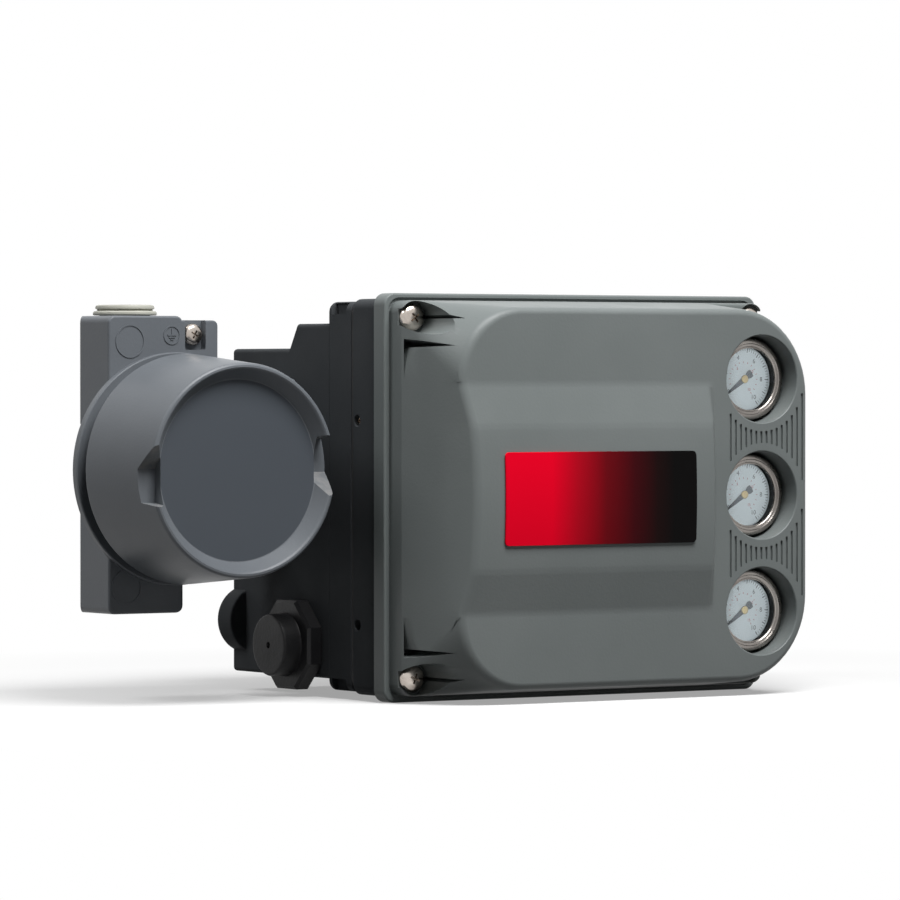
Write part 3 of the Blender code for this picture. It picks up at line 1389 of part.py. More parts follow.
def make_converter():
    """The current-to-pressure converter, and the slotted shroud that covers it."""
    half_w, half_h = CONVERTER_WIDTH / 2, CONVERTER_HEIGHT / 2
    back = BASE_FRONT - GAP
    front = back - CONVERTER_DEPTH
    x, z = CONVERTER_X, CONVERTER_Z
    block = box((x - half_w, front, z - half_h), (x + half_w, back, z + half_h))
    body = part("ip_converter", block, ALUMINIUM)
    port_end = front + CONVERTER_PORT_DEPTH
    port_z = z - CONVERTER_PORT_DROP
    cut(body, along_y(x, port_z, port_end, front - OVERCUT, CONVERTER_PORT_RADIUS, SMALL_STEPS))
    inner = SHROUD_CLEAR
    outer = SHROUD_CLEAR + SHROUD_WALL
    shell = box(
        (x - half_w - outer, front - outer, z - half_h - outer),
        (x + half_w + outer, back, z + half_h + outer))
    shroud = part("ip_shroud", shell, BLACK_PLASTIC)
    cut(shroud, box(
        (x - half_w - inner, front - inner, z - half_h - inner),
        (x + half_w + inner, back + OVERCUT, z + half_h + inner)))
    half_l, half_s = SHROUD_SLOT_LENGTH / 2, SHROUD_SLOT_WIDTH / 2
    for k in range(SHROUD_SLOTS):
        level = z + (k - (SHROUD_SLOTS - 1) / 2) * SHROUD_SLOT_PITCH
        cut(shroud, box(
            (x - half_l, front - outer - OVERCUT, level - half_s), (x + half_l, front, level + half_s)))


def make_relay():
    """A square relay body with a round diaphragm housing, and the disc that sets its action."""
    half = RELAY_WIDTH / 2
    back = BASE_FRONT - GAP
    front = back - RELAY_DEPTH
    dome = front - RELAY_DOME_DEPTH
    x, z = RELAY_X, RELAY_Z
    outline = rounded_outline(x - half, x + half, z - half, z + half, RELAY_CORNER, RELAY_CORNER, 3)
    body = part("pneumatic_relay", prism(outline, back, front), ALUMINIUM)
    add(body, along_y(x, z, front + OVERCUT, dome, RELAY_DOME_RADIUS))
    bore = DISC_STEM_RADIUS + RUN_GAP
    cut(body, along_y(x, z, dome + DISC_STEM + RUN_GAP, dome - OVERCUT, bore, SMALL_STEPS))
    seat = dome - RUN_GAP
    profile = [
        (0, DISC_THICKNESS),
        (DISC_RADIUS - DISC_EDGE, DISC_THICKNESS),
        (DISC_RADIUS, DISC_THICKNESS - DISC_EDGE),
        (DISC_RADIUS, 0),
        (DISC_STEM_RADIUS, 0),
        (DISC_STEM_RADIUS, -DISC_STEM),
        (0, -DISC_STEM),
    ]
    disc = turned_part("relay_adjust_disc", profile, facing_front(x, seat, z), WHITE_PLASTIC, GAUGE_STEPS)
    reach = DISC_RADIUS + OVERCUT
    top = seat - DISC_THICKNESS
    cut(disc, box(
        (x - reach, top - OVERCUT, z - DISC_SLOT / 2), (x + reach, top + DISC_SLOT_DEPTH, z + DISC_SLOT / 2)))


def make_vent_plug():
    """A moulded plug with an eight-sided flange and a round barrel, vented through its face."""
    start = CASTING_LEFT - GAP
    flange_end = start - VENT_FLANGE
    barrel_end = flange_end - VENT_BARREL
    stem_end = start + VENT_STEM
    across = VENT_ACROSS / 2 / math.cos(math.pi / 8)
    plug = part("vent_plug", along_x(-VENT_Y, VENT_Z, start, flange_end, across, 8, turn=22.5), BLACK_PLASTIC)
    add(plug, along_x(-VENT_Y, VENT_Z, flange_end + OVERCUT, barrel_end, VENT_BARREL_RADIUS))
    add(plug, along_x(-VENT_Y, VENT_Z, start - OVERCUT, stem_end, VENT_STEM_RADIUS))
    dimple_end = barrel_end + VENT_DIMPLE_DEPTH
    cut(plug, along_x(-VENT_Y, VENT_Z, barrel_end - OVERCUT, dimple_end, VENT_DIMPLE, SMALL_STEPS))
    cut(plug, along_x(-VENT_Y, VENT_Z, barrel_end, stem_end + OVERCUT, VENT_BORE, SMALL_STEPS))


clear_scene()
PARTS = new_collection("Valve positioner")
CUTTERS = new_collection("Cutters")

CASTING = material("cast_grey_paint", CAST_GREY, 0.1, 0.55)
COVER_PAINT = material("cover_grey", COVER_GREY, 0.0, 0.40)
BOX_PAINT = material("box_grey_paint", BOX_GREY, 0.1, 0.42)
BLACK_PLASTIC = material("black_plastic", BLACK, 0.0, 0.45)
BLACK_PAINT = material("black_case_paint", BLACK, 0.2, 0.40)
SEAL_RUBBER = material("seal_rubber", RUBBER, 0.0, 0.80)
NICKEL_METAL = material("nickel_plate", NICKEL, 1.0, 0.25)
STEEL = material("zinc_steel", (0.55, 0.56, 0.58, 1), 1.0, 0.38)
BRIGHT_STEEL = material("polished_steel", (0.75, 0.76, 0.78, 1), 1.0, 0.15)
ALUMINIUM = material("machined_aluminium", (0.60, 0.61, 0.62, 1), 1.0, 0.35)
DIAL_WHITE = material("dial_white", WHITE, 0.0, 0.55)
NEEDLE_BLACK = material("needle_black", BLACK, 0.0, 0.50)
LENS_GLASS = material("clear_lens", LENS_CLEAR, 0.0, 0.05)
PLUG_PLASTIC = material("cream_plastic", CREAM, 0.0, 0.45)
WHITE_PLASTIC = material("white_plastic", WHITE, 0.0, 0.40)
BOARD_FINISH = material("board_green", BOARD_GREEN, 0.0, 0.35)
PLATE_PAINT = material("plate_red", PLATE_RED, 0.0, 0.35)

make_housing()
make_sensor()
make_base()
make_side_screw()
make_gasket()
make_base_screws()
make_cover()
make_cover_seal()
make_name_plate()
make_cover_screws()
make_gauges()
make_terminal_box()
make_box_seal()
make_box_screw()
make_cap()
make_cap_o_ring()
make_conduit_plugs()
make_ground_screws()
make_terminals()
make_circuit_board()
make_circuit_screws()
make_converter()
make_relay()
make_vent_plug()
smooth_round_parts()
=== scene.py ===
import math

import bmesh
import bpy
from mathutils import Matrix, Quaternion, Vector


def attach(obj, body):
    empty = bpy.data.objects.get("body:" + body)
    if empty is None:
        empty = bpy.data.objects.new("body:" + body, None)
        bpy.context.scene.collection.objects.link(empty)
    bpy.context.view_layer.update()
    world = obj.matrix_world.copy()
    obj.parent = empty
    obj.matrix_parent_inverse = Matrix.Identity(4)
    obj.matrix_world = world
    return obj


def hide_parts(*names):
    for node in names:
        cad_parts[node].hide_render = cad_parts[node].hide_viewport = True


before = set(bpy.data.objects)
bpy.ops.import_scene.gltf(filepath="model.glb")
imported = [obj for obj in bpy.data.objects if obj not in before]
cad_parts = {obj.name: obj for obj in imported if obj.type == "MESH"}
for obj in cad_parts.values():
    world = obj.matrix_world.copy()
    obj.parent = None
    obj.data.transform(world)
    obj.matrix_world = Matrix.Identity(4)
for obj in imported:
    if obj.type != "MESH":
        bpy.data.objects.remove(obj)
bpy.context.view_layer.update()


# Camera and white studio
# The instrument stands on a white table and is seen from its left front corner, level with its middle.
# A softbox hangs close above the front, a weaker one lights the left side from behind, and card fills the rest.
def face_towards(thing, place, target):
    """Puts a lamp at a place, turned to a point."""
    thing.location = place
    thing.rotation_euler = (Vector(target) - Vector(place)).to_track_quat("-Z", "Y").to_euler()


view_middle = Vector((-0.05614, -0.112, 0.019015))
view_turn, view_rise, view_distance = math.radians(-33.799), math.radians(0.763), 2.2231
camera = bpy.data.objects.new("camera", bpy.data.cameras.new("camera"))
bpy.context.scene.collection.objects.link(camera)
camera.location = view_middle + view_distance * Vector((
    math.sin(view_turn) * math.cos(view_rise),
    -math.cos(view_turn) * math.cos(view_rise),
    math.sin(view_rise)))
camera.rotation_euler = (math.pi / 2 - view_rise, 0, view_turn)
camera.data.lens = 218.6
camera.data.sensor_width = 36
camera.data.clip_end = 60
bpy.context.scene.camera = camera
bpy.context.scene.view_settings.view_transform = "Standard"


def softbox(name, place, target, width, height, power):
    lamp = bpy.data.lights.new(name, "AREA")
    lamp.shape = "RECTANGLE"
    lamp.size = width
    lamp.size_y = height
    lamp.energy = power
    hung = bpy.data.objects.new(name, lamp)
    bpy.context.scene.collection.objects.link(hung)
    face_towards(hung, place, target)


softbox("key_softbox", (-0.045, -0.56, 0.78), (0, -0.11, 0.02), 0.6, 0.40, 13)
softbox("back_softbox", (-0.95, 0.20, 1.02), (-0.15, -0.05, 0), 0.5, 0.6, 6.5)

studio = bpy.data.worlds.new("studio")
bpy.context.scene.world = studio
studio.use_nodes = True
studio_nodes, studio_links = studio.node_tree.nodes, studio.node_tree.links
studio_nodes.clear()


def seen_directly(nodes, links):
    """1 where a ray comes straight from the eye, a mirror or a glass, and 0 for a ray that only lights."""
    path = nodes.new("ShaderNodeLightPath")
    either = nodes.new("ShaderNodeMath")
    either.operation = "MAXIMUM"
    links.new(path.outputs["Is Camera Ray"], either.inputs[0])
    links.new(path.outputs["Is Glossy Ray"], either.inputs[1])
    any_of = nodes.new("ShaderNodeMath")
    any_of.operation = "MAXIMUM"
    links.new(either.outputs[0], any_of.inputs[0])
    links.new(path.outputs["Is Transmission Ray"], any_of.inputs[1])
    return any_of.outputs[0]


card_light = studio_nodes.new("ShaderNodeBackground")
card_light.inputs["Color"].default_value = (1, 1, 1, 1)
card_light.inputs["Strength"].default_value = 0.025
white_card = studio_nodes.new("ShaderNodeBackground")
white_card.inputs["Color"].default_value = (1, 1, 1, 1)
white_card.inputs["Strength"].default_value = 1.0
card_mix = studio_nodes.new("ShaderNodeMixShader")
studio_output = studio_nodes.new("ShaderNodeOutputWorld")
studio_links.new(seen_directly(studio_nodes, studio_links), card_mix.inputs[0])
studio_links.new(card_light.outputs[0], card_mix.inputs[1])
studio_links.new(white_card.outputs[0], card_mix.inputs[2])
studio_links.new(card_mix.outputs[0], studio_output.inputs["Surface"])

bpy.ops.object.select_all(action="DESELECT")
bpy.ops.mesh.primitive_plane_add(size=40, location=(0, 0, -0.0826))
table = bpy.context.object
table.name = "table_top"
white_table = bpy.data.materials.new("white table")
white_table.use_nodes = True
table_nodes, table_links = white_table.node_tree.nodes, white_table.node_tree.links
table_nodes.clear()
laminate = table_nodes.new("ShaderNodeBsdfDiffuse")
laminate.inputs["Color"].default_value = (0.92, 0.92, 0.92, 1)
dark_side = table_nodes.new("ShaderNodeBsdfDiffuse")
dark_side.inputs["Color"].default_value = (0.10, 0.10, 0.10, 1)
bright = table_nodes.new("ShaderNodeEmission")
bright.inputs["Strength"].default_value = 1.0
table_place = table_nodes.new("ShaderNodeTexCoord")
from_middle = table_nodes.new("ShaderNodeVectorMath")
from_middle.operation = "DISTANCE"
from_middle.inputs[1].default_value = (0.0, -0.08, 0.0)
table_links.new(table_place.outputs["Object"], from_middle.inputs[0])
whiten = table_nodes.new("ShaderNodeMapRange")
whiten.inputs["From Min"].default_value = 0.10
whiten.inputs["From Max"].default_value = 0.40
whiten.inputs["To Min"].default_value = 0.35
whiten.inputs["To Max"].default_value = 1.0
table_links.new(from_middle.outputs["Value"], whiten.inputs["Value"])
table_mix = table_nodes.new("ShaderNodeMixShader")
table_links.new(whiten.outputs[0], table_mix.inputs[0])
table_links.new(laminate.outputs[0], table_mix.inputs[1])
table_links.new(bright.outputs[0], table_mix.inputs[2])
seen_mix = table_nodes.new("ShaderNodeMixShader")
table_output = table_nodes.new("ShaderNodeOutputMaterial")
table_links.new(seen_directly(table_nodes, table_links), seen_mix.inputs[0])
table_links.new(dark_side.outputs[0], seen_mix.inputs[1])
table_links.new(table_mix.outputs[0], seen_mix.inputs[2])
table_links.new(seen_mix.outputs[0], table_output.inputs["Surface"])
table.data.materials.append(white_table)


# Housing
# The rear pressure die casting: a box open at the front, with a shoulder, four lugs for M8 bolts and a
# slot for the travel sensor. It's enamelled dark grey, and its tapped lug holes are bare metal.
def only(piece):
    """Leaves one piece selected and active."""
    bpy.ops.object.select_all(action="DESELECT")
    piece.select_set(True)
    bpy.context.view_layer.objects.active = piece


def block(name, low, high):
    """A block between two corners, with its place in its mesh."""
    bpy.ops.object.select_all(action="DESELECT")
    bpy.ops.mesh.primitive_cube_add(size=1, location=[(a + b) / 2 for a, b in zip(low, high)])
    made = bpy.context.object
    made.name = name
    made.scale = [b - a for a, b in zip(low, high)]
    bpy.ops.object.transform_apply(location=True, rotation=True, scale=True)
    return made


def turned(name, base, axis, profile, steps=64, tube=False, turn=0.0):
    """A turned shape: a circle is drawn out along an axis from ring to ring, each a (radius, height).

    A bar is closed flat at both ends, and a tube's last ring meets its first.
    """
    base, axis = Vector(base), Vector(axis)
    facing = axis.to_track_quat("Z", "Y") @ Quaternion((0, 0, 1), turn)
    along = [abs(c) > 0.5 for c in axis]
    radius, height = profile[0]
    bpy.ops.object.select_all(action="DESELECT")
    bpy.ops.mesh.primitive_circle_add(
        vertices=steps, radius=radius, fill_type="NOTHING" if tube else "NGON",
        location=base + axis * height, rotation=facing.to_euler())
    made = bpy.context.object
    made.name = name
    bpy.ops.object.transform_apply(location=True, rotation=True, scale=True)
    bpy.ops.object.mode_set(mode="EDIT")
    bpy.ops.mesh.select_mode(type="EDGE")
    bpy.ops.mesh.select_all(action="SELECT")
    for next_radius, next_height in profile[1:] + (profile[:1] if tube else []):
        bpy.ops.mesh.extrude_edges_move(TRANSFORM_OT_translate={"value": axis * (next_height - height)})
        grow = next_radius / radius
        bpy.ops.transform.resize(
            value=[1 if c else grow for c in along], center_override=base + axis * next_height)
        radius, height = next_radius, next_height
    if not tube:
        bpy.ops.mesh.edge_face_add()
    bpy.ops.mesh.select_all(action="SELECT")
    bpy.ops.mesh.remove_doubles(threshold=0.000001)
    bpy.ops.mesh.normals_make_consistent(inside=False)
    bpy.ops.object.mode_set(mode="OBJECT")
    return made


def pick(kind, test):
    """In edit mode, selects only the faces, edges or corners that pass a test.

    A face is tested by its middle and normal, an edge by its two ends and a corner by its place.
    """
    bpy.ops.mesh.select_all(action="DESELECT")
    bpy.ops.mesh.select_mode(type=kind)
    mesh = bpy.context.object.data
    shape = bmesh.from_edit_mesh(mesh)
    if kind == "FACE":
        chosen = [f for f in shape.faces if test(f.calc_center_median(), f.normal)]
    elif kind == "EDGE":
        chosen = [e for e in shape.edges if test(e.verts[0].co, e.verts[1].co)]
    else:
        chosen = [v for v in shape.verts if test(v.co)]
    for item in chosen:
        item.select_set(True)
    shape.select_flush_mode()
    bmesh.update_edit_mesh(mesh)
    return len(chosen)


def soften(piece, width, steps, test):
    """Rounds the edges that pass a test."""
    only(piece)
    bpy.ops.object.mode_set(mode="EDIT")
    if pick("EDGE", test):
        bpy.ops.mesh.bevel(offset=width, segments=steps, affect="EDGES", clamp_overlap=True)
    bpy.ops.object.mode_set(mode="OBJECT")


def join_shape(piece, tool, how="UNION"):
    """Adds a shape to a piece, or cuts it out, and clears the shape away."""
    step = piece.modifiers.new("join", "BOOLEAN")
    step.operation = how
    step.solver = "EXACT"
    step.object = tool
    only(piece)
    bpy.ops.object.modifier_apply(modifier=step.name)
    bpy.data.objects.remove(tool, do_unlink=True)


def bore(piece, base, axis, profile, steps=48):
    """Cuts a turned hole."""
    join_shape(piece, turned("bore", base, axis, profile, steps), "DIFFERENCE")


def thread(radius, deep, pitch, depth, mouth):
    """A tapped hole's rings, from just outside its face inwards: a countersunk mouth, then the ridges."""
    rings = [(radius + mouth + 0.0006, -0.0006), (radius + mouth, 0.0), (radius, mouth)]
    height = mouth + pitch / 2
    while height < deep - pitch:
        rings.append((radius + depth, height))
        rings.append((radius, height + pitch / 2))
        height += pitch
    return rings + [(radius, deep)]


def surface_finish(name, colour, other, roughness, metal=0.0, grain=0.12, grain_size=900.0, patch=22.0, shine=0.4):
    """A coat or a bare surface: two close shades in soft patches, an uneven gloss and a fine grain."""
    made = bpy.data.materials.new(name)
    made.use_nodes = True
    nodes, links = made.node_tree.nodes, made.node_tree.links
    shader = nodes["Principled BSDF"]
    shader.inputs["Metallic"].default_value = metal
    shader.inputs["Specular IOR Level"].default_value = shine
    place = nodes.new("ShaderNodeTexCoord")
    patches = nodes.new("ShaderNodeTexNoise")
    patches.inputs["Scale"].default_value = patch
    patches.inputs["Detail"].default_value = 4
    shades = nodes.new("ShaderNodeValToRGB")
    shades.color_ramp.elements[0].position = 0.35
    shades.color_ramp.elements[0].color = (*other, 1)
    shades.color_ramp.elements[1].position = 0.65
    shades.color_ramp.elements[1].color = (*colour, 1)
    smears = nodes.new("ShaderNodeTexNoise")
    smears.inputs["Scale"].default_value = patch * 2.5
    smears.inputs["Detail"].default_value = 3
    gloss = nodes.new("ShaderNodeMapRange")
    gloss.inputs["From Min"].default_value = 0.3
    gloss.inputs["From Max"].default_value = 0.7
    gloss.inputs["To Min"].default_value = roughness * 0.88
    gloss.inputs["To Max"].default_value = roughness * 1.14
    pimples = nodes.new("ShaderNodeTexNoise")
    pimples.inputs["Scale"].default_value = grain_size
    pimples.inputs["Detail"].default_value = 2
    bump = nodes.new("ShaderNodeBump")
    bump.inputs["Strength"].default_value = grain
    bump.inputs["Distance"].default_value = 0.0004
    for noise in (patches, smears, pimples):
        links.new(place.outputs["Object"], noise.inputs["Vector"])
    links.new(patches.outputs["Fac"], shades.inputs["Fac"])
    links.new(shades.outputs["Color"], shader.inputs["Base Color"])
    links.new(smears.outputs["Fac"], gloss.inputs["Value"])
    links.new(gloss.outputs[0], shader.inputs["Roughness"])
    links.new(pimples.outputs["Fac"], bump.inputs["Height"])
    links.new(bump.outputs["Normal"], shader.inputs["Normal"])
    return made


def finish_piece(piece, material, body, slot, *nodes, angle=32):
    """Smooths the shading, gives the piece its finish and its body, and hides the CAD nodes that it stands for."""
    only(piece)
    bpy.ops.object.mode_set(mode="EDIT")
    bpy.ops.mesh.select_all(action="SELECT")
    bpy.ops.mesh.remove_doubles(threshold=0.000002)
    bpy.ops.object.mode_set(mode="OBJECT")
    bpy.ops.object.shade_smooth_by_angle(angle=math.radians(angle))
    even = piece.modifiers.new("even shading", "WEIGHTED_NORMAL")
    even.keep_sharp = True
    bpy.ops.object.modifier_apply(modifier=even.name)
    piece.data.materials.clear()
    piece.data.materials.append(material)
    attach(piece, body)
    if nodes:
        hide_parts(*nodes)


def bare_faces(piece, material, test):
    """Gives the faces that pass a test a second finish, such as the bare metal of a drilled hole."""
    piece.data.materials.append(material)
    for face in piece.data.polygons:
        if test(face.center, face.normal):
            face.material_index = len(piece.data.materials) - 1


side_x, rim_front, rim_back = 0.09125, -0.0920, -0.0750
lug_places = [(side * 0.085, height) for side in (-1, 1) for height in (-0.053, 0.0422)]
base_screw_places = [(-0.0172, 0.050), (0.038, 0.050), (-0.0172, -0.067)]

housing = block("housing_casting", (-side_x, rim_back - 0.0006, -0.0747), (side_x, 0, 0.0706))
only(housing)
bpy.ops.object.mode_set(mode="EDIT")
for cut_y in (-0.0510, -0.0449):
    bpy.ops.mesh.select_all(action="SELECT")
    bpy.ops.mesh.bisect(plane_co=(0, cut_y, 0), plane_no=(0, 1, 0))
pick("VERT", lambda p: p.y > -0.0450 and p.z > 0.07)
bpy.ops.transform.translate(value=(0, 0, -0.0101))
bpy.ops.object.mode_set(mode="OBJECT")
soften(housing, 0.0016, 3, lambda a, b: (
    max(a.y, b.y) > rim_back
    and (min(a.y, b.y) > -0.0001 or (abs(a.x + b.x) > 0.18 and abs(a.z - b.z) < 0.05))))
rim = block("rim", (-side_x, rim_front, -0.0794), (side_x, rim_back, 0.0794))
soften(rim, 0.004, 5, lambda a, b: abs(a.y - b.y) > 0.005)
soften(rim, 0.0010, 2, lambda a, b: min(a.y, b.y) > rim_back - 0.0001)
soften(rim, 0.0004, 2, lambda a, b: max(a.y, b.y) < rim_front + 0.0001)
join_shape(housing, rim)
for across, height in lug_places:
    join_shape(housing, turned("lug", (across, 0, height), (0, -1, 0), [
        (0.0130, 0.0), (0.0137, 0.0004), (0.0140, 0.0011), (0.0140, 0.0099), (0.0137, 0.0106), (0.0130, 0.0110)]))
join_shape(housing, block("hollow", (-0.08625, -0.0930, -0.0697), (0.08625, -0.009, 0.0555)), "DIFFERENCE")
for across, height in lug_places:
    inside = math.copysign(0.08225, across)
    join_shape(housing, turned("boss", (inside, 0, height), (0, -1, 0), [(0.008, 0.004), (0.008, 0.019)], 32))
for across, height in base_screw_places:
    wall = 0.058 if height > 0 else -0.0722
    low, high = min(height, wall), max(height, wall)
    join_shape(housing, block("rib", (across - 0.00325, rim_front + 0.0006, low), (across + 0.00325, -0.0723, high)))
    join_shape(housing, turned(
        "boss", (across, rim_front, height), (0, 1, 0), [(0.0065, 0.0003), (0.0065, 0.0203)], 32))
    bore(housing, (across, rim_front, height), (0, 1, 0), [(0.0033, -0.001), (0.0033, 0.0130)], 24)
for across, height in lug_places:
    join_shape(housing, turned("tapped_hole", (across, 0, height), (0, -1, 0),
                               thread(0.0037, 0.0140, 0.00125, 0.0004, 0.0008), 40, turn=0.03), "DIFFERENCE")
join_shape(housing, block("sensor_slot", (0.018, -0.0100, -0.033), (0.042, 0.001, 0.033)), "DIFFERENCE")
for end in (-1, 1):
    near, far = end * 0.0789, end * 0.0744
    slot = block("slot", (-0.0923, -0.0885, min(near, far)), (-0.08825, -0.0775, max(near, far)))
    join_shape(housing, slot, "DIFFERENCE")
bore(housing, (-side_x, -0.053, -0.0614), (1, 0, 0), [(0.0088, -0.001), (0.0088, 0.0085)])
bore(housing, (-side_x, -0.038, 0.0235), (1, 0, 0), [(0.006, -0.001), (0.006, 0.006)])
bore(housing, (-side_x, -0.038, -0.0025), (1, 0, 0), [(0.0028, -0.001), (0.0028, 0.006)], 24)

casting_grey = surface_finish("casting enamel", (0.056, 0.060, 0.064), (0.048, 0.052, 0.056), 0.60, shine=0.04)
bare_metal = surface_finish("bare die casting", (0.50, 0.51, 0.52), (0.42, 0.43, 0.44), 0.34, 1.0, 0.20, 1600, 90)
finish_piece(housing, casting_grey, "positioner", "cast_grey_paint", "housing")
bare_faces(housing, bare_metal, lambda m, n: (
    m.y < -0.0001 and any(math.hypot(m.x - x, m.z - z) < 0.0048 for x, z in lug_places)))


def dress(material, *names):
    """Gives CAD nodes that stay as they are a finish of their own."""
    for name in names:
        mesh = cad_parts[name].data
        mesh.materials.clear()
        mesh.materials.append(material)


# Travel sensor
# A black moulded block in the housing's rear slot, with a groove that the magnet strip runs through.
# It's pressed in from behind, and its faces carry the fine texture of the mould.
moulded_black = surface_finish("black moulding", (0.014, 0.014, 0.015), (0.010, 0.010, 0.011), 0.45, 0.0, 0.2, 700, shine=0.2)
sensor = block("travel_sensor", (0.0183, -0.0220, -0.0327), (0.0417, -0.0003, 0.0327))
soften(sensor, 0.0008, 3, lambda a, b: abs(a.z - b.z) > 0.01 or min(a.y, b.y) > -0.001)
groove = block("groove", (0.026, -0.0170, -0.034), (0.034, 0.001, 0.034))
soften(groove, 0.0016, 4, lambda a, b: max(a.y, b.y) < -0.016 and abs(a.z - b.z) > 0.01)
join_shape(sensor, groove, "DIFFERENCE")
finish_piece(sensor, moulded_black, "positioner", "black_plastic", "feedback_sensor")


# Module base
# The front half of the casting: a solid plate in the same dark enamel that carries every working part.
# Three tapped air ports open in its right side, and two small drilled holes in its left.
base_front, base_back, base_half = -0.1120, -0.0936, 0.0804
gauge_x, gauge_places = 0.06795, (0.04785, 0.0, -0.04785)
cover_screw_places = [(side * 0.08425, end * 0.0725) for side in (-1, 1) for end in (-1, 1)]
module_base = block("module_base_casting", (-side_x, base_front, -base_half), (side_x, base_back, base_half))
soften(module_base, 0.004, 5, lambda a, b: abs(a.y - b.y) > 0.005)
soften(module_base, 0.0005, 2, lambda a, b: abs(a.y - b.y) < 0.0001)
for across in (-0.0685, -0.0275):
    for height in (-0.0575, 0.0575):
        join_shape(module_base, turned(
            "standoff", (across, base_front, height), (0, -1, 0),
            [(0.0035, -0.001), (0.0035, 0.0054), (0.0032, 0.0057)], 32))
for height in gauge_places:
    bore(module_base, (gauge_x, base_front, height), (0, 1, 0), [(0.0051, -0.001), (0.0051, 0.010)], 32)
    bore(module_base, (side_x, -0.1028, height), (-1, 0, 0), thread(0.0061, 0.0150, 0.00134, 0.0005, 0.0009), 64)
for across, height in cover_screw_places:
    bore(module_base, (across, base_front, height), (0, 1, 0), [(0.0028, -0.001), (0.0028, 0.0105)], 24)
for across, height in base_screw_places:
    bore(module_base, (across, base_front, height), (0, 1, 0), [(0.0056, -0.001), (0.0056, 0.007)], 32)
    bore(module_base, (across, base_front, height), (0, 1, 0), [(0.0033, 0.005), (0.0033, 0.020)], 24)
for height in (0.031, -0.052):
    bore(module_base, (-side_x, -0.0968, height), (1, 0, 0), [
        (0.0031, -0.0006), (0.0025, 0.0), (0.0022, 0.0003), (0.0022, 0.006)], 32)
finish_piece(module_base, casting_grey, "positioner", "cast_grey_paint", "module_base")
bare_faces(module_base, bare_metal, lambda m, n: (
    m.x > 0.0763 and m.x < side_x - 0.0001 and any(math.hypot(m.y + 0.1028, m.z - z) < 0.0073 for z in gauge_places)))

side_screw = turned("side_set_screw", (-side_x + 0.0012, -0.0968, 0.031), (1, 0, 0), [
    (0.0014, 0.0), (0.0019, 0.0003), (0.0019, 0.0045)], 32)
bore(side_screw, (-side_x + 0.0012, -0.0968, 0.031), (1, 0, 0), [(0.0011, -0.0003), (0.0011, 0.0015)], 6)
plated_nickel = surface_finish("nickel plate", (0.58, 0.53, 0.48), (0.42, 0.37, 0.33), 0.22, 1.0, 0.05, 500, 160)
finish_piece(side_screw, plated_nickel, "positioner", "nickel_plate", "side_screw")


# Gasket and seals
# Black nitrile: a flat gasket between the castings, a cord seal under the cover, and O-rings at the
# terminal box and under its cap. They're soft and matt, with a slight bloom.
nitrile = surface_finish("nitrile rubber", (0.022, 0.022, 0.023), (0.035, 0.035, 0.036), 0.78, 0.0, 0.10, 1200, 60)
dress(nitrile, "base_gasket", "cover_seal", "box_seal", "cap_o_ring")
zinc_steel = surface_finish("zinc plate", (0.58, 0.59, 0.61), (0.46, 0.48, 0.52), 0.36, 1.0, 0.08, 600, 120)
dress(zinc_steel, "base_screw_1", "base_screw_2", "base_screw_3")
dress(plated_nickel, "box_screw", "circuit_screw_1", "circuit_screw_2", "inner_ground_screw",
      "loop_screw_1", "loop_screw_2", "loop_screw_3", "loop_screw_4")


# Working parts behind the cover
# A green circuit board on standoffs, an aluminium converter under a slotted black shroud, and an
# aluminium relay with a white adjusting disc. Each is screwed to the module base.
board_green = surface_finish("solder mask", (0.020, 0.130, 0.060), (0.014, 0.100, 0.045), 0.32, 0.0, 0.10, 350, 140)
machined = surface_finish("machined aluminium", (0.62, 0.63, 0.64), (0.54, 0.55, 0.56), 0.34, 1.0, 0.15, 1400, 70)
white_acetal = surface_finish("white acetal", (0.80, 0.80, 0.78), (0.74, 0.74, 0.72), 0.42, 0.0, 0.06, 900)
dress(board_green, "circuit_board", "terminal_board")
dress(machined, "ip_converter", "pneumatic_relay")
dress(moulded_black, "ip_shroud", "terminal_block")
dress(white_acetal, "relay_adjust_disc")


# Front cover
# One aluminium die casting, enamelled in mid grey: a flange, a ledge and a tall body whose face carries a
# raised band. Three round windows show the gauges, and four counterbored pockets hold its screws.
def plate_outline(name, left, right, half, y, left_radius, right_radius, steps=12):
    """A flat plate across Y with round corners, as one face."""
    bpy.ops.object.select_all(action="DESELECT")
    bpy.ops.mesh.primitive_plane_add(size=1, location=((left + right) / 2, y, 0), rotation=(math.pi / 2, 0, 0))
    made = bpy.context.object
    made.name = name
    made.scale = (right - left, 2 * half, 1)
    bpy.ops.object.transform_apply(location=True, rotation=True, scale=True)
    bpy.ops.object.mode_set(mode="EDIT")
    middle = (left + right) / 2
    pick("VERT", lambda p: p.x < middle)
    bpy.ops.mesh.bevel(offset=left_radius, segments=steps, affect="VERTICES")
    pick("VERT", lambda p: p.x > right - 0.000001 and abs(p.z) > half - 0.000001)
    bpy.ops.mesh.bevel(offset=right_radius, segments=steps, affect="VERTICES")
    bpy.ops.object.mode_set(mode="OBJECT")
    return made


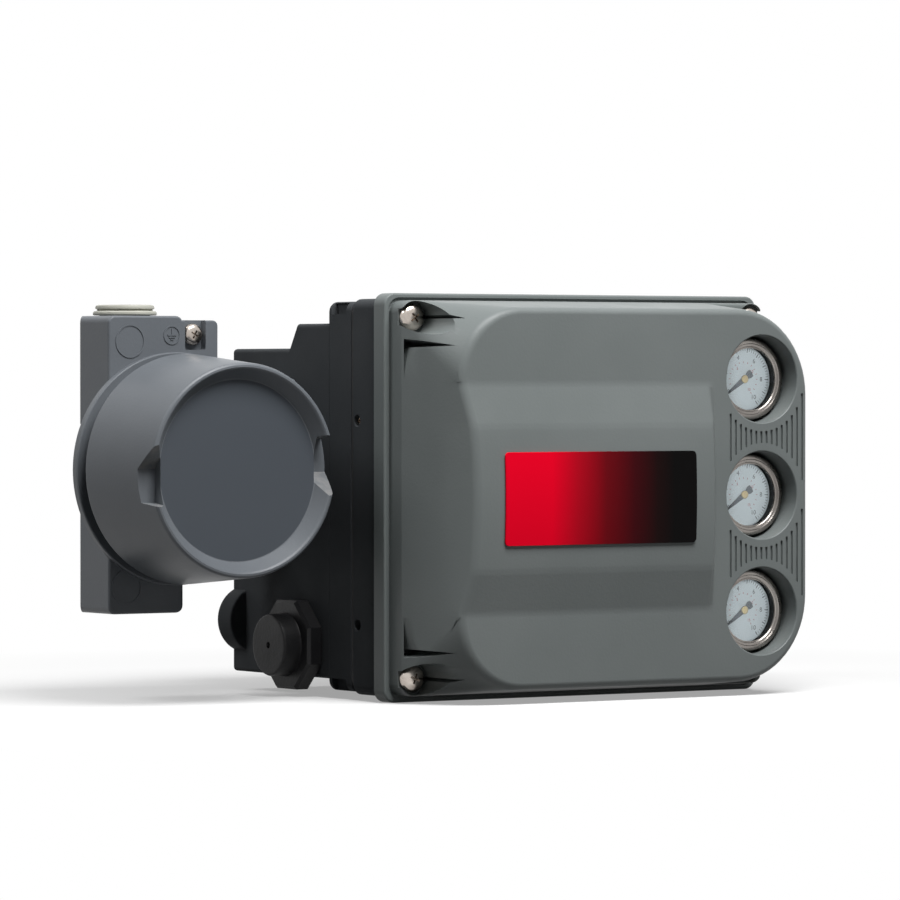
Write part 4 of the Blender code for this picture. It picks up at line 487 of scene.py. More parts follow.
def loft_plates(name, *plates):
    """Joins plates that have as many corners each into one closed body."""
    for plate in plates[1:-1]:
        only(plate)
        bpy.ops.object.mode_set(mode="EDIT")
        bpy.ops.mesh.select_all(action="SELECT")
        bpy.ops.mesh.delete(type="ONLY_FACE")
        bpy.ops.object.mode_set(mode="OBJECT")
    only(plates[0])
    for plate in plates:
        plate.select_set(True)
    bpy.ops.object.join()
    made = bpy.context.object
    made.name = name
    bpy.ops.object.mode_set(mode="EDIT")
    bpy.ops.mesh.select_mode(type="EDGE")
    bpy.ops.mesh.select_all(action="SELECT")
    bpy.ops.mesh.bridge_edge_loops()
    bpy.ops.mesh.select_all(action="SELECT")
    bpy.ops.mesh.normals_make_consistent(inside=False)
    bpy.ops.object.mode_set(mode="OBJECT")
    return made


def slab(name, outline, step):
    """A flat outline of corners, drawn out by a step into a closed body."""
    bpy.ops.object.select_all(action="DESELECT")
    bpy.ops.mesh.primitive_circle_add(vertices=len(outline), radius=0.01, fill_type="NGON")
    made = bpy.context.object
    made.name = name
    for corner, place in zip(made.data.vertices, outline):
        corner.co = place
    bpy.ops.object.mode_set(mode="EDIT")
    bpy.ops.mesh.select_all(action="SELECT")
    bpy.ops.mesh.extrude_region_move(TRANSFORM_OT_translate={"value": step})
    bpy.ops.mesh.select_all(action="SELECT")
    bpy.ops.mesh.normals_make_consistent(inside=False)
    bpy.ops.object.mode_set(mode="OBJECT")
    return made


def eased(value, start, end, blend):
    """Falls from 1 to 0 between two places, with a soft turn at both."""
    slope = 1 / (end - start)
    if value <= start - blend:
        return 1.0
    if value < start + blend:
        return 1 - slope * (value - start + blend) ** 2 / (4 * blend)
    if value <= end - blend:
        return 1 - slope * (value - start)
    if value < end + blend:
        return slope * (end + blend - value) ** 2 / (4 * blend)
    return 0.0


cover_back, flange_front, ledge_front = -0.1123, -0.1200, -0.1290
face_front, band_rise, band_crown, face_left = -0.1580, 0.0040, 0.0014, -0.08125
cover_half, ledge_half, face_half = 0.0825, 0.0795, 0.0765
band_top, band_foot, band_turn = 0.0290, 0.0460, 0.0016
band_end, band_stop, end_turn = 0.04025, 0.04325, 0.0010


def lift(point):
    """How far the raised band stands in front of the face at a point."""
    rise = band_rise + band_crown * max(0.0, 1 - (point.z / band_top) ** 2)
    return round(rise * eased(abs(point.z), band_top, band_foot, band_turn)
                 * eased(point.x, band_end, band_stop, end_turn), 7)


steps_up = []
for share in (0.0, 0.15, 0.3, 0.45, 0.6, 0.8, 1.0):
    steps_up.append(plate_outline(
        "step", -0.09025 + (face_left + 0.09025) * share, 0.09175, ledge_half + (face_half - ledge_half) * share,
        ledge_front + 0.001 + (face_front - ledge_front - 0.001) * share, 0.0053 + 0.0247 * share ** 0.75, 0.035, 16))
cover = loft_plates("front_cover_casting", *steps_up)
only(cover)
bpy.ops.object.mode_set(mode="EDIT")
for height in range(-25, 26, 5):
    bpy.ops.mesh.select_all(action="SELECT")
    bpy.ops.mesh.bisect(plane_co=(0, 0, height / 1000), plane_no=(0, 0, 1))
for middle, turn in ((band_top, band_turn), (band_foot, band_turn)):
    for share in (-1, -0.5, 0, 0.5, 1):
        for side in (-1, 1):
            bpy.ops.mesh.select_all(action="SELECT")
            bpy.ops.mesh.bisect(plane_co=(0, 0, side * (middle + share * turn)), plane_no=(0, 0, 1))
for middle, turn in ((band_end, end_turn), (band_stop, end_turn)):
    for share in (-1, -0.5, 0, 0.5, 1):
        bpy.ops.mesh.select_all(action="SELECT")
        bpy.ops.mesh.bisect(plane_co=(middle + share * turn, 0, 0), plane_no=(1, 0, 0))
heights = {lift(v.co) for v in bmesh.from_edit_mesh(cover.data).verts if v.co.y < face_front + 0.000001}
for height in sorted(heights - {0.0}):
    pick("VERT", lambda p: abs(p.y - face_front) < 0.000001 and abs(lift(p) - height) < 0.0000001)
    bpy.ops.transform.translate(value=(0, -height, 0))
    if pick("VERT", lambda p: abs(p.y - face_front + height) < 0.000001 and p.x < face_left + 0.0001):
        bpy.ops.transform.translate(value=(0.72 * height, 0, 0))


def on_rim(point):
    """On the outline of the face, where the band is raised too."""
    if point.y > face_front + 0.00001:
        return False
    left = face_left + 0.72 * (face_front - point.y)
    radius = 0.030 if point.x < 0 else 0.035
    over_x = left + radius - point.x if point.x < 0 else point.x - (0.09175 - radius)
    over_z = abs(point.z) - (face_half - radius)
    if over_x > 0 and over_z > 0:
        return abs(math.hypot(over_x, over_z) - radius) < 0.0008
    return abs(over_x - radius) < 0.0002 or abs(over_z - radius) < 0.0002


pick("EDGE", lambda a, b: on_rim(a) and on_rim(b))
bpy.ops.mesh.bevel(offset=0.0026, segments=4, affect="EDGES", clamp_overlap=False)
bpy.ops.object.mode_set(mode="OBJECT")

ledge = block("ledge", (-0.09025, ledge_front, -ledge_half), (0.09025, flange_front + 0.0015, ledge_half))
soften(ledge, 0.005, 8, lambda a, b: abs(a.y - b.y) > 0.005)
soften(ledge, 0.0014, 3, lambda a, b: a.y < ledge_front + 0.00001 and b.y < ledge_front + 0.00001)
join_shape(cover, ledge)
flange = block("flange", (-0.09325, flange_front, -cover_half), (0.09325, cover_back, cover_half))
soften(flange, 0.005, 8, lambda a, b: abs(a.y - b.y) > 0.005)
soften(flange, 0.0009, 3, lambda a, b: a.y < flange_front + 0.00001 and b.y < flange_front + 0.00001)
groove = block("groove", (-0.0915, flange_front - 0.001, -0.0808), (0.0915, flange_front + 0.0010, 0.0808))
soften(groove, 0.0055, 8, lambda a, b: abs(a.y - b.y) > 0.0015)
join_shape(flange, groove, "DIFFERENCE")
join_shape(cover, flange)

hollow = loft_plates(
    "hollow",
    plate_outline("back", -0.08575, 0.08575, 0.0750, cover_back + 0.001, 0.036, 0.029),
    plate_outline("front", -0.07675, 0.08575, 0.0720, face_front + 0.003, 0.033, 0.029))
join_shape(cover, hollow, "DIFFERENCE")
for height in gauge_places:
    join_shape(cover, turned("tube", (gauge_x, face_front + 0.001, height), (0, 1, 0), [
        (0.0202, 0.0), (0.0202, 0.0150)], 96))
for height in gauge_places:
    bore(cover, (gauge_x, face_front, height), (0, 1, 0), [
        (0.0189, -0.0006), (0.0185, 0.0), (0.0182, 0.0002), (0.0180, 0.0006), (0.0180, 0.0480)], 96)
for across, height in cover_screw_places:
    bore(cover, (across, -0.165, height), (0, 1, 0), [(0.0068, 0.0), (0.0068, 0.0397)])
    bore(cover, (across, -0.135, height), (0, 1, 0), [(0.0028, 0.0), (0.0028, 0.0237)], 32)
for end in (-1, 1):
    for corners in (
            ((-0.08425, 0.0763), (-0.08255, 0.0720), (-0.07395, 0.0722)),
            ((-0.08990, 0.0640), (-0.08990, 0.0480), (-0.08930, 0.0530), (-0.08790, 0.0605), (-0.08055, 0.0613))):
        pit = slab("core_pit", [(x, -0.1225, end * z) for x, z in corners], (0, -0.0475, 0))
        join_shape(cover, pit, "DIFFERENCE")

rib_gaps = []
for number in range(15):
    across = 0.0518 + number * 0.00263
    reach = math.sqrt(0.0215 ** 2 - (across - gauge_x) ** 2)
    for low, high in ((reach, 0.04785 - reach), (reach - 0.04785, -reach)):
        rib_gaps.append(block("rib_gap", (across - 0.00055, face_front - 0.001, low),
                              (across + 0.00055, face_front + 0.0009, high)))
only(rib_gaps[0])
for gap in rib_gaps:
    gap.select_set(True)
bpy.ops.object.join()
join_shape(cover, bpy.context.object, "DIFFERENCE")

seal_groove = block("seal_groove", (-0.0904, -0.1140, -0.0797), (0.0904, -0.1110, 0.0797))
soften(seal_groove, 0.004, 6, lambda a, b: abs(a.y - b.y) > 0.002)
seal_island = block("seal_island", (-0.0879, -0.1150, -0.0772), (0.0879, -0.1100, 0.0772))
soften(seal_island, 0.002, 6, lambda a, b: abs(a.y - b.y) > 0.002)
join_shape(seal_groove, seal_island, "DIFFERENCE")
join_shape(cover, seal_groove, "DIFFERENCE")

cover_grey = surface_finish("cover enamel", (0.170, 0.188, 0.186), (0.156, 0.174, 0.172), 0.38, shine=0.22)
finish_piece(cover, cover_grey, "positioner", "cover_grey", "front_cover")


# Name plate
# A thin plate of printed plastic film, glued to the middle of the band. It runs from red at its left to
# black at its right, and it's left plain.
plate = plate_outline("printed_name_plate", -0.06415, 0.03015, 0.0187, -0.1637, 0.0018, 0.0018, 6)
only(plate)
bpy.ops.object.mode_set(mode="EDIT")
bpy.ops.mesh.select_all(action="SELECT")
bpy.ops.mesh.extrude_region_move(TRANSFORM_OT_translate={"value": (0, -0.0006, 0)})
bpy.ops.mesh.select_all(action="SELECT")
bpy.ops.mesh.normals_make_consistent(inside=False)
bpy.ops.object.mode_set(mode="OBJECT")
soften(plate, 0.00015, 2, lambda a, b: max(a.y, b.y) < -0.1642)
only(plate)
bpy.ops.object.mode_set(mode="EDIT")
for height in range(-15, 16, 3):
    bpy.ops.mesh.select_all(action="SELECT")
    bpy.ops.mesh.bisect(plane_co=(0, 0, height / 1000), plane_no=(0, 0, 1))
rows = sorted({round(v.co.z, 6) for v in bmesh.from_edit_mesh(plate.data).verts})
for row in rows:
    pick("VERT", lambda p: abs(p.z - row) < 0.0000006)
    bpy.ops.transform.translate(value=(0, band_crown * (row / band_top) ** 2, 0))
bpy.ops.object.mode_set(mode="OBJECT")

printed_film = surface_finish("printed film", (0.75, 0.0, 0.016), (0.70, 0.0, 0.015), 0.35, 0.0, 0.05, 1500, 60, 0.05)
film_nodes, film_links = printed_film.node_tree.nodes, printed_film.node_tree.links
film_place = film_nodes.new("ShaderNodeTexCoord")
film_axes = film_nodes.new("ShaderNodeSeparateXYZ")
film_links.new(film_place.outputs["Object"], film_axes.inputs[0])
along = film_nodes.new("ShaderNodeMapRange")
along.inputs["From Min"].default_value = -0.06415
along.inputs["From Max"].default_value = 0.03015
film_links.new(film_axes.outputs["X"], along.inputs["Value"])
print_fade = film_nodes.new("ShaderNodeValToRGB")
fade = print_fade.color_ramp
fade.elements[0].position, fade.elements[0].color = 0.24, (0.86, 0.001, 0.020, 1)
fade.elements[1].position, fade.elements[1].color = 0.88, (0.0015, 0.0012, 0.0012, 1)
for spot, shade in ((0.37, (0.47, 0.003, 0.014, 1)), (0.52, (0.150, 0.003, 0.007, 1)),
                    (0.67, (0.044, 0.002, 0.004, 1)), (0.79, (0.009, 0.002, 0.002, 1))):
    fade.elements.new(spot).color = shade
film_links.new(along.outputs[0], print_fade.inputs["Fac"])
film_links.new(print_fade.outputs["Color"], film_nodes["Principled BSDF"].inputs["Base Color"])
finish_piece(plate, printed_film, "positioner", "plate_red", "name_plate")


# Cover screws and ground screw
# Nickel-plated pan-head machine screws with a cross recess, one at each corner of the cover and a smaller
# one in the terminal box's notch. Each was driven home to its own angle.
def pan_screw(name, place, radius, height, shank, length, cross, width, depth, turn):
    """A pan-head screw whose head points to the front."""
    rings = [(shank * 0.75, -length)]
    rings += [(shank, -length + 0.0005), (shank, -0.0004), (radius * 0.93, 0.0), (radius, height * 0.10)]
    rings += [(radius * across, height * up) for across, up in (
        (1.0, 0.30), (0.965, 0.52), (0.88, 0.72), (0.74, 0.87), (0.55, 0.96), (0.30, 1.0))]
    made = turned(name, place, (0, -1, 0), rings, 48)
    x, y, z = place
    face = y - height
    for quarter in (0.0, math.pi / 2):
        bpy.ops.object.select_all(action="DESELECT")
        bpy.ops.mesh.primitive_cube_add(size=1, location=(x, face, z), rotation=(0, turn + quarter, 0))
        arm = bpy.context.object
        arm.scale = (cross, depth * 2, width)
        bpy.ops.object.transform_apply(location=True, rotation=True, scale=True)
        only(arm)
        bpy.ops.object.mode_set(mode="EDIT")
        pick("VERT", lambda p: p.y > face)
        bpy.ops.transform.resize(value=(0.45, 1, 0.45), center_override=(x, face, z))
        bpy.ops.object.mode_set(mode="OBJECT")
        join_shape(made, arm, "DIFFERENCE")
    return made


for number, (across, height, turn) in enumerate((
        (-0.08425, -0.0725, 0.35), (-0.08425, 0.0725, 0.95), (0.08425, -0.0725, 0.15), (0.08425, 0.0725, 0.60)), 1):
    screw = pan_screw("pan_screw_%d" % number, (across, -0.12555, height),
                      0.0055, 0.0034, 0.0025, 0.02135, 0.0062, 0.0011, 0.0016, turn)
    finish_piece(screw, plated_nickel, "screw_%d" % number, "nickel_plate", "cover_screw_%d" % number, angle=40)
ground_screw = pan_screw("earth_screw", (-0.14255, -0.05175, 0.066),
                         0.0044, 0.0030, 0.0025, 0.00595, 0.0052, 0.0010, 0.0014, 0.5)
finish_piece(ground_screw, plated_nickel, "positioner", "nickel_plate", "ground_screw", angle=40)


# Pressure gauges
# Three small gauges in a column: a black steel cup on a brass stem, a white printed dial, a black needle
# with a brass hub, a slightly domed glass and a stepped steel ring rolled over it.
def another(piece, name, shift, body, slot, *nodes):
    """Copies a finished piece, each copy with its own mesh, and moves the copy's mesh."""
    only(piece)
    bpy.ops.object.duplicate()
    made = bpy.context.object
    made.name = name
    bpy.ops.object.mode_set(mode="EDIT")
    bpy.ops.mesh.select_all(action="SELECT")
    bpy.ops.transform.translate(value=shift)
    bpy.ops.object.mode_set(mode="OBJECT")
    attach(made, body)
    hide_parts(*nodes)
    return made


dial_front, first = -0.1450, gauge_places[0]
case = turned("gauge_cup_1", (gauge_x, -0.1030, first), (0, -1, 0), [
    (0.0141, 0.0411), (0.0141, 0.0442), (0.0150, 0.0442), (0.0150, 0.0275), (0.0146, 0.0262), (0.0138, 0.0253),
    (0.0130, 0.0250), (0.0048, 0.0250), (0.0048, 0.0004), (0.0044, 0.0)], 72)
join_shape(case, turned("gauge_nut", (gauge_x, -0.1123, first), (0, -1, 0), [
    (0.0063, 0.0), (0.0069, 0.0005), (0.0069, 0.0065), (0.0063, 0.0070)], 6))
case_black = surface_finish("black case paint", (0.012, 0.012, 0.013), (0.018, 0.018, 0.019), 0.38, 0.0, 0.10, 800)
brass = surface_finish("turned brass", (0.72, 0.52, 0.22), (0.62, 0.43, 0.17), 0.30, 1.0, 0.08, 1200, 160)
finish_piece(case, case_black, "positioner", "black_case_paint", "gauge_case_1")
bare_faces(case, brass, lambda m, n: m.y > -0.1235 and math.hypot(m.x - gauge_x, m.z - first) < 0.0075)

bezel = turned("gauge_ring_1", (gauge_x, dial_front, first), (0, -1, 0), [
    (0.0128, 0.00435), (0.0133, 0.0043), (0.0136, 0.0046), (0.0145, 0.0047), (0.0148, 0.0051), (0.0158, 0.00513),
    (0.0164, 0.0049), (0.0168, 0.0043), (0.0168, -0.00037), (0.0153, -0.00037), (0.0153, 0.00413),
    (0.0128, 0.00413)], 96, tube=True)
rolled_steel = surface_finish("rolled steel", (0.30, 0.28, 0.26), (0.23, 0.21, 0.195), 0.27, 1.0, 0.04, 900, 90)
finish_piece(bezel, rolled_steel, "positioner", "polished_steel", "gauge_bezel_1", angle=25)

lens = turned("gauge_glass_1", (gauge_x, -0.1475, first), (0, -1, 0), [
    (0.0145, 0.0), (0.0147, 0.0002), (0.0147, 0.0010), (0.0138, 0.00114), (0.0122, 0.00137), (0.0100, 0.00164),
    (0.0075, 0.00189), (0.0048, 0.00207), (0.0022, 0.00217), (0.0004, 0.0022)], 72)
clear_glass = bpy.data.materials.new("clear glass")
clear_glass.use_nodes = True
glass_nodes, glass_links = clear_glass.node_tree.nodes, clear_glass.node_tree.links
glass_nodes.clear()
see_through = glass_nodes.new("ShaderNodeBsdfTransparent")
see_through.inputs["Color"].default_value = (0.95, 0.97, 0.97, 1)
shine = glass_nodes.new("ShaderNodeBsdfGlossy")
shine.inputs["Color"].default_value = (0.9, 0.95, 1.0, 1)
glass_place = glass_nodes.new("ShaderNodeTexCoord")
dust = glass_nodes.new("ShaderNodeTexNoise")
dust.inputs["Scale"].default_value = 300.0
glass_links.new(glass_place.outputs["Object"], dust.inputs["Vector"])
dull = glass_nodes.new("ShaderNodeMapRange")
dull.inputs["To Min"].default_value = 0.02
dull.inputs["To Max"].default_value = 0.10
glass_links.new(dust.outputs["Fac"], dull.inputs["Value"])
glass_links.new(dull.outputs[0], shine.inputs["Roughness"])
grazing = glass_nodes.new("ShaderNodeFresnel")
grazing.inputs["IOR"].default_value = 1.52
glass_mix = glass_nodes.new("ShaderNodeMixShader")
glass_output = glass_nodes.new("ShaderNodeOutputMaterial")
glass_links.new(grazing.outputs[0], glass_mix.inputs[0])
glass_links.new(see_through.outputs[0], glass_mix.inputs[1])
glass_links.new(shine.outputs[0], glass_mix.inputs[2])
glass_links.new(glass_mix.outputs[0], glass_output.inputs["Surface"])
finish_piece(lens, clear_glass, "positioner", "clear_lens", "gauge_lens_1", angle=40)


def radial_mark(inner, outer, width, angle):
    """One printed stroke that points away from the dial's middle."""
    middle = (inner + outer) / 2
    bpy.ops.object.select_all(action="DESELECT")
    bpy.ops.mesh.primitive_cube_add(size=1, rotation=(0, -angle, 0), location=(
        gauge_x + middle * math.cos(angle), dial_front - 0.00002, first + middle * math.sin(angle)))
    made = bpy.context.object
    made.scale = (outer - inner, 0.00006, width)
    bpy.ops.object.transform_apply(location=True, rotation=True, scale=True)
    return made


def numeral(words, radius, size, angle):
    """A number printed upright on the dial."""
    bpy.ops.object.select_all(action="DESELECT")
    bpy.ops.object.text_add()
    made = bpy.context.object
    made.data.body = words
    made.data.size = size
    made.data.extrude = 0.00002
    made.data.align_x = "CENTER"
    made.data.align_y = "CENTER"
    made.data.resolution_u = 3
    bpy.ops.object.convert(target="MESH")
    made = bpy.context.object
    made.rotation_euler = (math.pi / 2, 0, 0)
    made.location = (gauge_x + radius * math.cos(angle), dial_front - 0.00003, first + radius * math.sin(angle))
    bpy.ops.object.transform_apply(location=True, rotation=True, scale=True)
    return made


dial = turned("gauge_scale_1", (gauge_x, dial_front, first), (0, 1, 0), [
    (0.0136, 0.0), (0.0137, 0.0001), (0.0137, 0.0006)], 96)
strokes = []
for number in range(51):
    angle = math.radians(215 - 5.4 * number)
    main = number % 5 == 0
    strokes.append(radial_mark(0.0111 if main else 0.0117, 0.0128, 0.00034 if main else 0.00018, angle))
for number in range(0, 6):
    strokes.append(numeral(str(2 * number), 0.0092, 0.0027, math.radians(215 - 54 * number)))
for number in range(16):
    strokes.append(radial_mark(0.0066, 0.0073, 0.00022, math.radians(215 - 18 * number)))
for number in range(0, 4):
    strokes.append(numeral(str(5 * number), 0.0053, 0.0017, math.radians(215 - 90 * number)))
only(dial)
for stroke in strokes:
    stroke.select_set(True)
bpy.ops.object.join()
dial_white = surface_finish("printed dial", (0.80, 0.83, 0.85), (0.75, 0.78, 0.80), 0.42, 0.0, 0.04, 1500, 120)
black_ink = surface_finish("black ink", (0.020, 0.020, 0.022), (0.030, 0.030, 0.033), 0.45, 0.0, 0.05, 2000, 300)
red_ink = surface_finish("red ink", (0.45, 0.05, 0.06), (0.38, 0.05, 0.06), 0.45, 0.0, 0.05, 2000, 300)
finish_piece(dial, dial_white, "positioner", "dial_white", "gauge_dial_1")
bare_faces(dial, black_ink, lambda m, n: m.y < dial_front - 0.00001)
bare_faces(dial, red_ink, lambda m, n: (
    m.y < dial_front - 0.00001 and math.hypot(m.x - gauge_x, m.z - first) < 0.0075))

lean = math.radians(215)
needle = slab("gauge_pointer_1", [
    (gauge_x + u * math.cos(lean) - v * math.sin(lean), -0.1456, first + u * math.sin(lean) + v * math.cos(lean))
    for u, v in ((0.0108, 0.0003), (0.0004, 0.0012), (-0.0014, 0.0009), (-0.0030, 0.0016), (-0.0044, 0.0016),
                 (-0.0048, 0.0), (-0.0044, -0.0016), (-0.0030, -0.0016), (-0.0014, -0.0009), (0.0004, -0.0012),
                 (0.0108, -0.0003))], (0, -0.0003, 0))
join_shape(needle, turned("hub", (gauge_x, -0.1456, first), (0, -1, 0), [
    (0.0008, -0.00024), (0.0008, 0.0002), (0.0016, 0.0002), (0.0017, 0.0004), (0.0017, 0.0007), (0.0015, 0.0009),
    (0.0009, 0.0010)], 32))
needle_black = surface_finish("needle paint", (0.012, 0.012, 0.014), (0.018, 0.018, 0.020), 0.45, 0.0, 0.05, 1500, 300)
finish_piece(needle, needle_black, "needle_1", "needle_black", "gauge_needle_1", angle=35)
bare_faces(needle, brass, lambda m, n: m.y < -0.14591)

dials = [dial, needle]
for number, height in ((2, gauge_places[1]), (3, gauge_places[2])):
    shift = (0, 0, height - first)
    another(case, "gauge_cup_%d" % number, shift, "positioner", "black_case_paint", "gauge_case_%d" % number)
    another(bezel, "gauge_ring_%d" % number, shift, "positioner", "polished_steel", "gauge_bezel_%d" % number)
    another(lens, "gauge_glass_%d" % number, shift, "positioner", "clear_lens", "gauge_lens_%d" % number)
    dials.append(another(
        dial, "gauge_scale_%d" % number, shift, "positioner", "dial_white", "gauge_dial_%d" % number))
    dials.append(another(
        needle, "gauge_pointer_%d" % number, shift, "needle_%d" % number, "needle_black", "gauge_needle_%d" % number))
softbox("dial_softbox", (-0.35, -0.95, 0.10), (gauge_x, dial_front, 0), 0.3, 0.3, 4.6)
lit_dials = bpy.data.collections.new("lit dials")
for thing in dials:
    lit_dials.objects.link(thing)
bpy.data.objects["dial_softbox"].light_linking.receiver_collection = lit_dials


# Terminal box
# A die casting on the housing's left: a tall block with a conduit entry at each end, a wiring chamber with
# a threaded collar for the cap, and a notched post for the ground screw. It's enamelled blue-grey.
box_grey = surface_finish("box enamel", (0.142, 0.155, 0.170), (0.126, 0.138, 0.153), 0.36, shine=0.24)
cap_x, cap_z, box_front = -0.15275, 0.0115, -0.0550
conduit_x, conduit_y, block_top, block_bottom = -0.16575, -0.0380, 0.0735, -0.0470
box = block("terminal_box_casting", (-0.18325, box_front, block_bottom), (-0.14825, -0.0210, block_top))
soften(box, 0.003, 5, lambda a, b: abs(a.y - b.y) > 0.015 and abs(a.x - b.x) < 0.0001)
soften(box, 0.0010, 3, lambda a, b: max(a.y, b.y) < box_front + 0.0001)
soften(box, 0.0010, 2, lambda a, b: min(a.y, b.y) > -0.0211)
chamber = block("chamber", (-0.18225, box_front + 0.0005, -0.0290), (-0.10355, -0.0215, 0.0520))
soften(chamber, 0.006, 6, lambda a, b: abs(a.y - b.y) > 0.02 and a.x < -0.15)
soften(chamber, 0.012, 8, lambda a, b: abs(a.y - b.y) > 0.02 and a.x > -0.15 and abs(a.x - b.x) < 0.0001 and (
    abs(a.x + 0.10355) < 0.0001))
soften(chamber, 0.0012, 2, lambda a, b: min(a.y, b.y) > -0.0216)
join_shape(box, chamber)
join_shape(box, slab("chamfer", ((-0.1843, -0.03305, -0.0480), (-0.1843, -0.0200, -0.0480), (-0.17125, -0.0200, -0.0480)),
                     (0, 0, 0.1230)), "DIFFERENCE")
bridge = block("bridge", (-0.12155, -0.0510, -0.0200), (-0.09155, -0.0240, 0.0480))
soften(bridge, 0.003, 5, lambda a, b: abs(a.x - b.x) > 0.02)
join_shape(box, bridge)
post = block("ground_post", (-0.15225, box_front, 0.0400), (-0.13165, -0.0390, 0.0718))
soften(post, 0.0022, 4, lambda a, b: abs(a.y - b.y) > 0.01 and min(a.z, b.z) > 0.07)
soften(post, 0.0008, 2, lambda a, b: max(a.y, b.y) < box_front + 0.0001)
join_shape(box, post)
rings = [(0.0440, 0.0), (0.0440, 0.0024), (0.0472, 0.0030), (0.0472, 0.0058), (0.0468, 0.0062), (0.0432, 0.0062),
         (0.0432, 0.0100), (0.0395, 0.0100), (0.0395, 0.0127),
         (0.0374, 0.0127), (0.0374, 0.0153), (0.0395, 0.0153)]
for number in range(4):
    rings += [(0.0395, 0.0165 + 0.002 * number), (0.0388, 0.0175 + 0.002 * number)]
join_shape(box, turned("collar", (cap_x, -0.0520, cap_z), (0, -1, 0), rings + [(0.0395, 0.0252), (0.0387, 0.0260)], 128))
bore(box, (cap_x, -0.0785, cap_z), (0, 1, 0), [(0.0355, 0.0), (0.0355, 0.0505)], 128)
pocket = block("ground_pocket", (-0.14745, -0.0560, 0.0597), (-0.13765, -0.0515, 0.0728))
soften(pocket, 0.0008, 3, lambda a, b: abs(a.y - b.y) > 0.003 and max(a.z, b.z) < 0.0600)
join_shape(box, pocket, "DIFFERENCE")
bore(box, (-0.14255, -0.0515, 0.0660), (0, 1, 0), [(0.0027, -0.0005), (0.0027, 0.0066)], 32)
bore(box, (conduit_x, conduit_y, block_top), (0, 0, -1), thread(0.0106, 0.0200, 0.0018, 0.0005, 0.0006), 64)
bore(box, (conduit_x, conduit_y, block_bottom), (0, 0, 1), thread(0.0106, 0.0200, 0.0018, 0.0005, 0.0006), 64)
bore(box, (-0.09155, -0.0380, 0.0235), (-1, 0, 0), [(0.0060, -0.001), (0.0060, 0.0300)], 32)
bore(box, (-0.09155, -0.0380, -0.0025), (-1, 0, 0), [(0.0028, -0.001), (0.0028, 0.0300)], 32)
bore(box, (-0.09155, -0.0380, -0.0025), (-1, 0, 0), [(0.0052, 0.0100), (0.0052, 0.0300)], 32)
join_shape(box, turned("seal_groove", (-0.09155, -0.0380, 0.0235), (-1, 0, 0), [
    (0.0083, -0.0005), (0.0107, -0.0005), (0.0107, 0.0024), (0.0083, 0.0024)], 48, tube=True), "DIFFERENCE")
bore(box, (-0.17275, -0.0280, -0.0125), (0, 1, 0), [(0.0017, -0.0005), (0.0017, 0.0042)], 24)
for across, height, radius, width in (
        (-0.1733, 0.0632, 0.0068, 0.0006), (-0.1537, 0.0657, 0.0039, 0.0005), (-0.1751, -0.0362, 0.0070, 0.0006)):
    join_shape(box, turned("ring_mark", (across, box_front, height), (0, -1, 0), [
        (radius - width, -0.0005), (radius, -0.0005), (radius, 0.0003), (radius - width, 0.0003)], 48, tube=True))
for half_x, low, high in ((0.00024, -0.0001, 0.0026), (0.0021, -0.00025, 0.00025), (0.0014, -0.00115, -0.00065),
                          (0.0007, -0.00205, -0.00155)):
    join_shape(box, block("earth_mark", (-0.1537 - half_x, box_front - 0.0003, 0.0657 + low),
                          (-0.1537 + half_x, box_front + 0.0005, 0.0657 + high)))
finish_piece(box, box_grey, "positioner", "box_grey_paint", "terminal_box")
bare_faces(box, bare_metal, lambda m, n: (
    math.hypot(m.x - conduit_x, m.y - conduit_y) < 0.0113 and (0.0530 < m.z < 0.0734 or -0.0469 < m.z < -0.0265)))


# Terminal cap
# A deep die-cast screw cap in the same enamel. Its front is a flat disc inside a raised ring, with two
# notches for a bar to turn it by, whose ends are worn bright.
cap_back, cap_front = -0.0630, -0.1100
cap = turned("screw_cap_casting", (cap_x, cap_back, cap_z), (0, -1, 0), [
    (0.0362, 0.0415), (0.0366, 0.0417), (0.0370, 0.0423), (0.0402, 0.0462), (0.0406, 0.0467), (0.0412, 0.0470),
    (0.0420, 0.0469), (0.0427, 0.0464), (0.0430, 0.0456), (0.0466, 0.0020), (0.0464, 0.0011), (0.0458, 0.0006),
    (0.0402, 0.0006), (0.0402, 0.0365)], 160)
notch_profile = ((-0.0139, 0.0472), (0.0106, 0.0472), (0.0010, 0.0370), (-0.0125, 0.0370))
for side in (-1, 1):
    outline = [(cap_x + side * 0.0480, cap_back - up, cap_z - side * rise) for rise, up in notch_profile]
    join_shape(cap, slab("notch", outline, (-side * 0.0122, 0, 0)), "DIFFERENCE")
finish_piece(cap, box_grey, "cap", "box_grey_paint", "terminal_cap", angle=28)
disc_grey = surface_finish("disc enamel", (0.074, 0.084, 0.098), (0.071, 0.081, 0.095), 0.45, 0.0, 0.06, shine=0.15)
worn_paint = surface_finish("worn enamel", (0.22, 0.22, 0.22), (0.15, 0.16, 0.17), 0.34, 0.0, 0.15, 1200, 300)
bare_faces(cap, disc_grey, lambda m, n: n.y < -0.99 and abs(m.y - cap_back + 0.0415) < 0.0001)
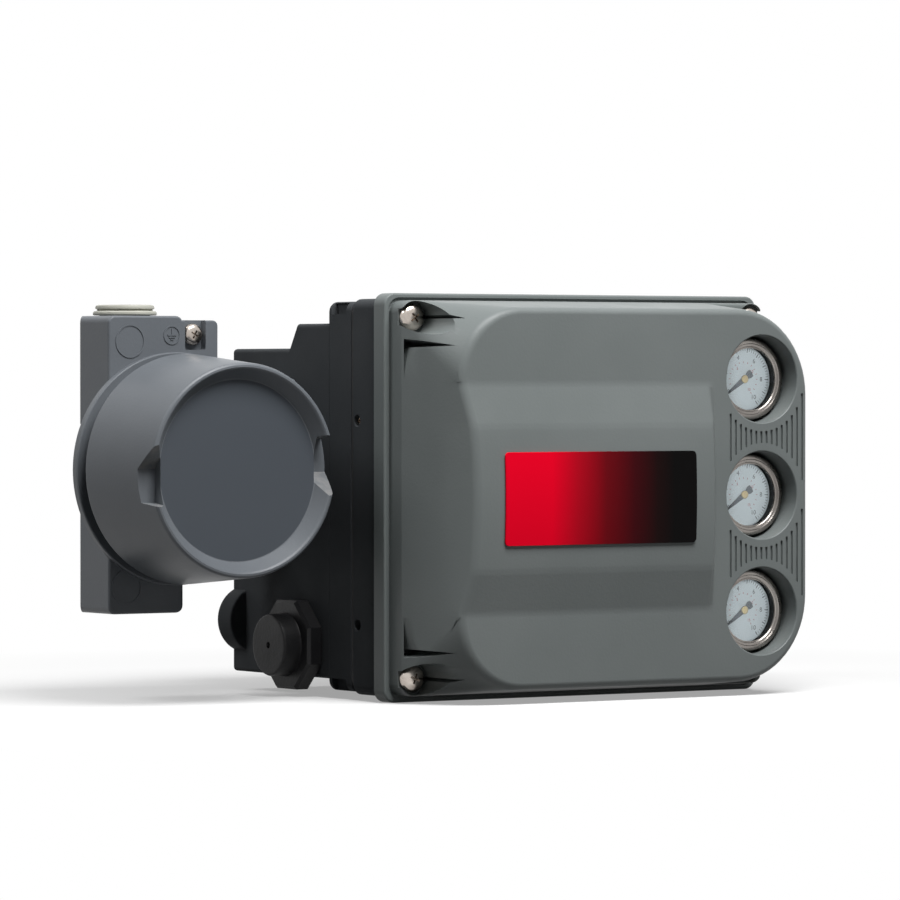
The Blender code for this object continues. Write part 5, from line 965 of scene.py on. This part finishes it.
bare_faces(cap, worn_paint, lambda m, n: (
    m.y < cap_back - 0.0371 and abs(m.z - cap_z) < 0.0142 and abs(n.z) > 0.55
    and math.hypot(m.x - cap_x, m.z - cap_z) > 0.0358))


# Conduit plug
# A cream plastic closing plug in the top entry: a hollow threaded stem under two stacked discs.
plug = turned("closing_plug", (conduit_x, conduit_y, 0.0738), (0, 0, 1), [
    (0.0108, 0.0042), (0.0117, 0.0039), (0.0120, 0.0033), (0.0120, 0.0026), (0.0113, 0.0024), (0.0113, 0.0018),
    (0.0125, 0.0016), (0.0130, 0.0011), (0.0130, 0.0003), (0.0127, 0.0), (0.0103, 0.0), (0.0103, -0.0120),
    (0.0087, -0.0120), (0.0087, 0.0026)], 72)
cream_plastic = surface_finish("cream plastic", (0.44, 0.44, 0.385), (0.38, 0.38, 0.33), 0.50, 0.0, 0.12, 700, 60)
finish_piece(plug, cream_plastic, "positioner", "cream_plastic", "conduit_plug_top")
dress(zinc_steel, "conduit_plug_bottom")


# Vent plug
# A black moulded vent in the housing's left side: an eight-sided flange to turn it by, a short round
# barrel in front, and a threaded stem behind.
vent = turned("vent_moulding", (-0.09155, -0.0530, -0.0614), (-1, 0, 0), [
    (0.0190, 0.0), (0.01975, 0.0006), (0.01975, 0.0058), (0.0185, 0.0070)], 8, turn=math.pi / 8)
join_shape(vent, turned("barrel", (-0.09155, -0.0530, -0.0614), (-1, 0, 0), [
    (0.0134, 0.0060), (0.0129, 0.0078), (0.0128, 0.0138), (0.0124, 0.0147), (0.0116, 0.0150)], 72))
join_shape(vent, turned("stem", (-0.09155, -0.0530, -0.0614), (1, 0, 0), [
    (0.0085, -0.0010), (0.0085, 0.0070), (0.0080, 0.0075)], 48))
bore(vent, (-0.10655, -0.0530, -0.0614), (1, 0, 0), [(0.0016, -0.0005), (0.0012, 0.0004), (0.0009, 0.0015)], 24)
bore(vent, (-0.08405, -0.0530, -0.0614), (-1, 0, 0), [(0.0030, -0.0005), (0.0030, 0.0120)], 32)
finish_piece(vent, moulded_black, "positioner", "black_plastic", "vent_plug")
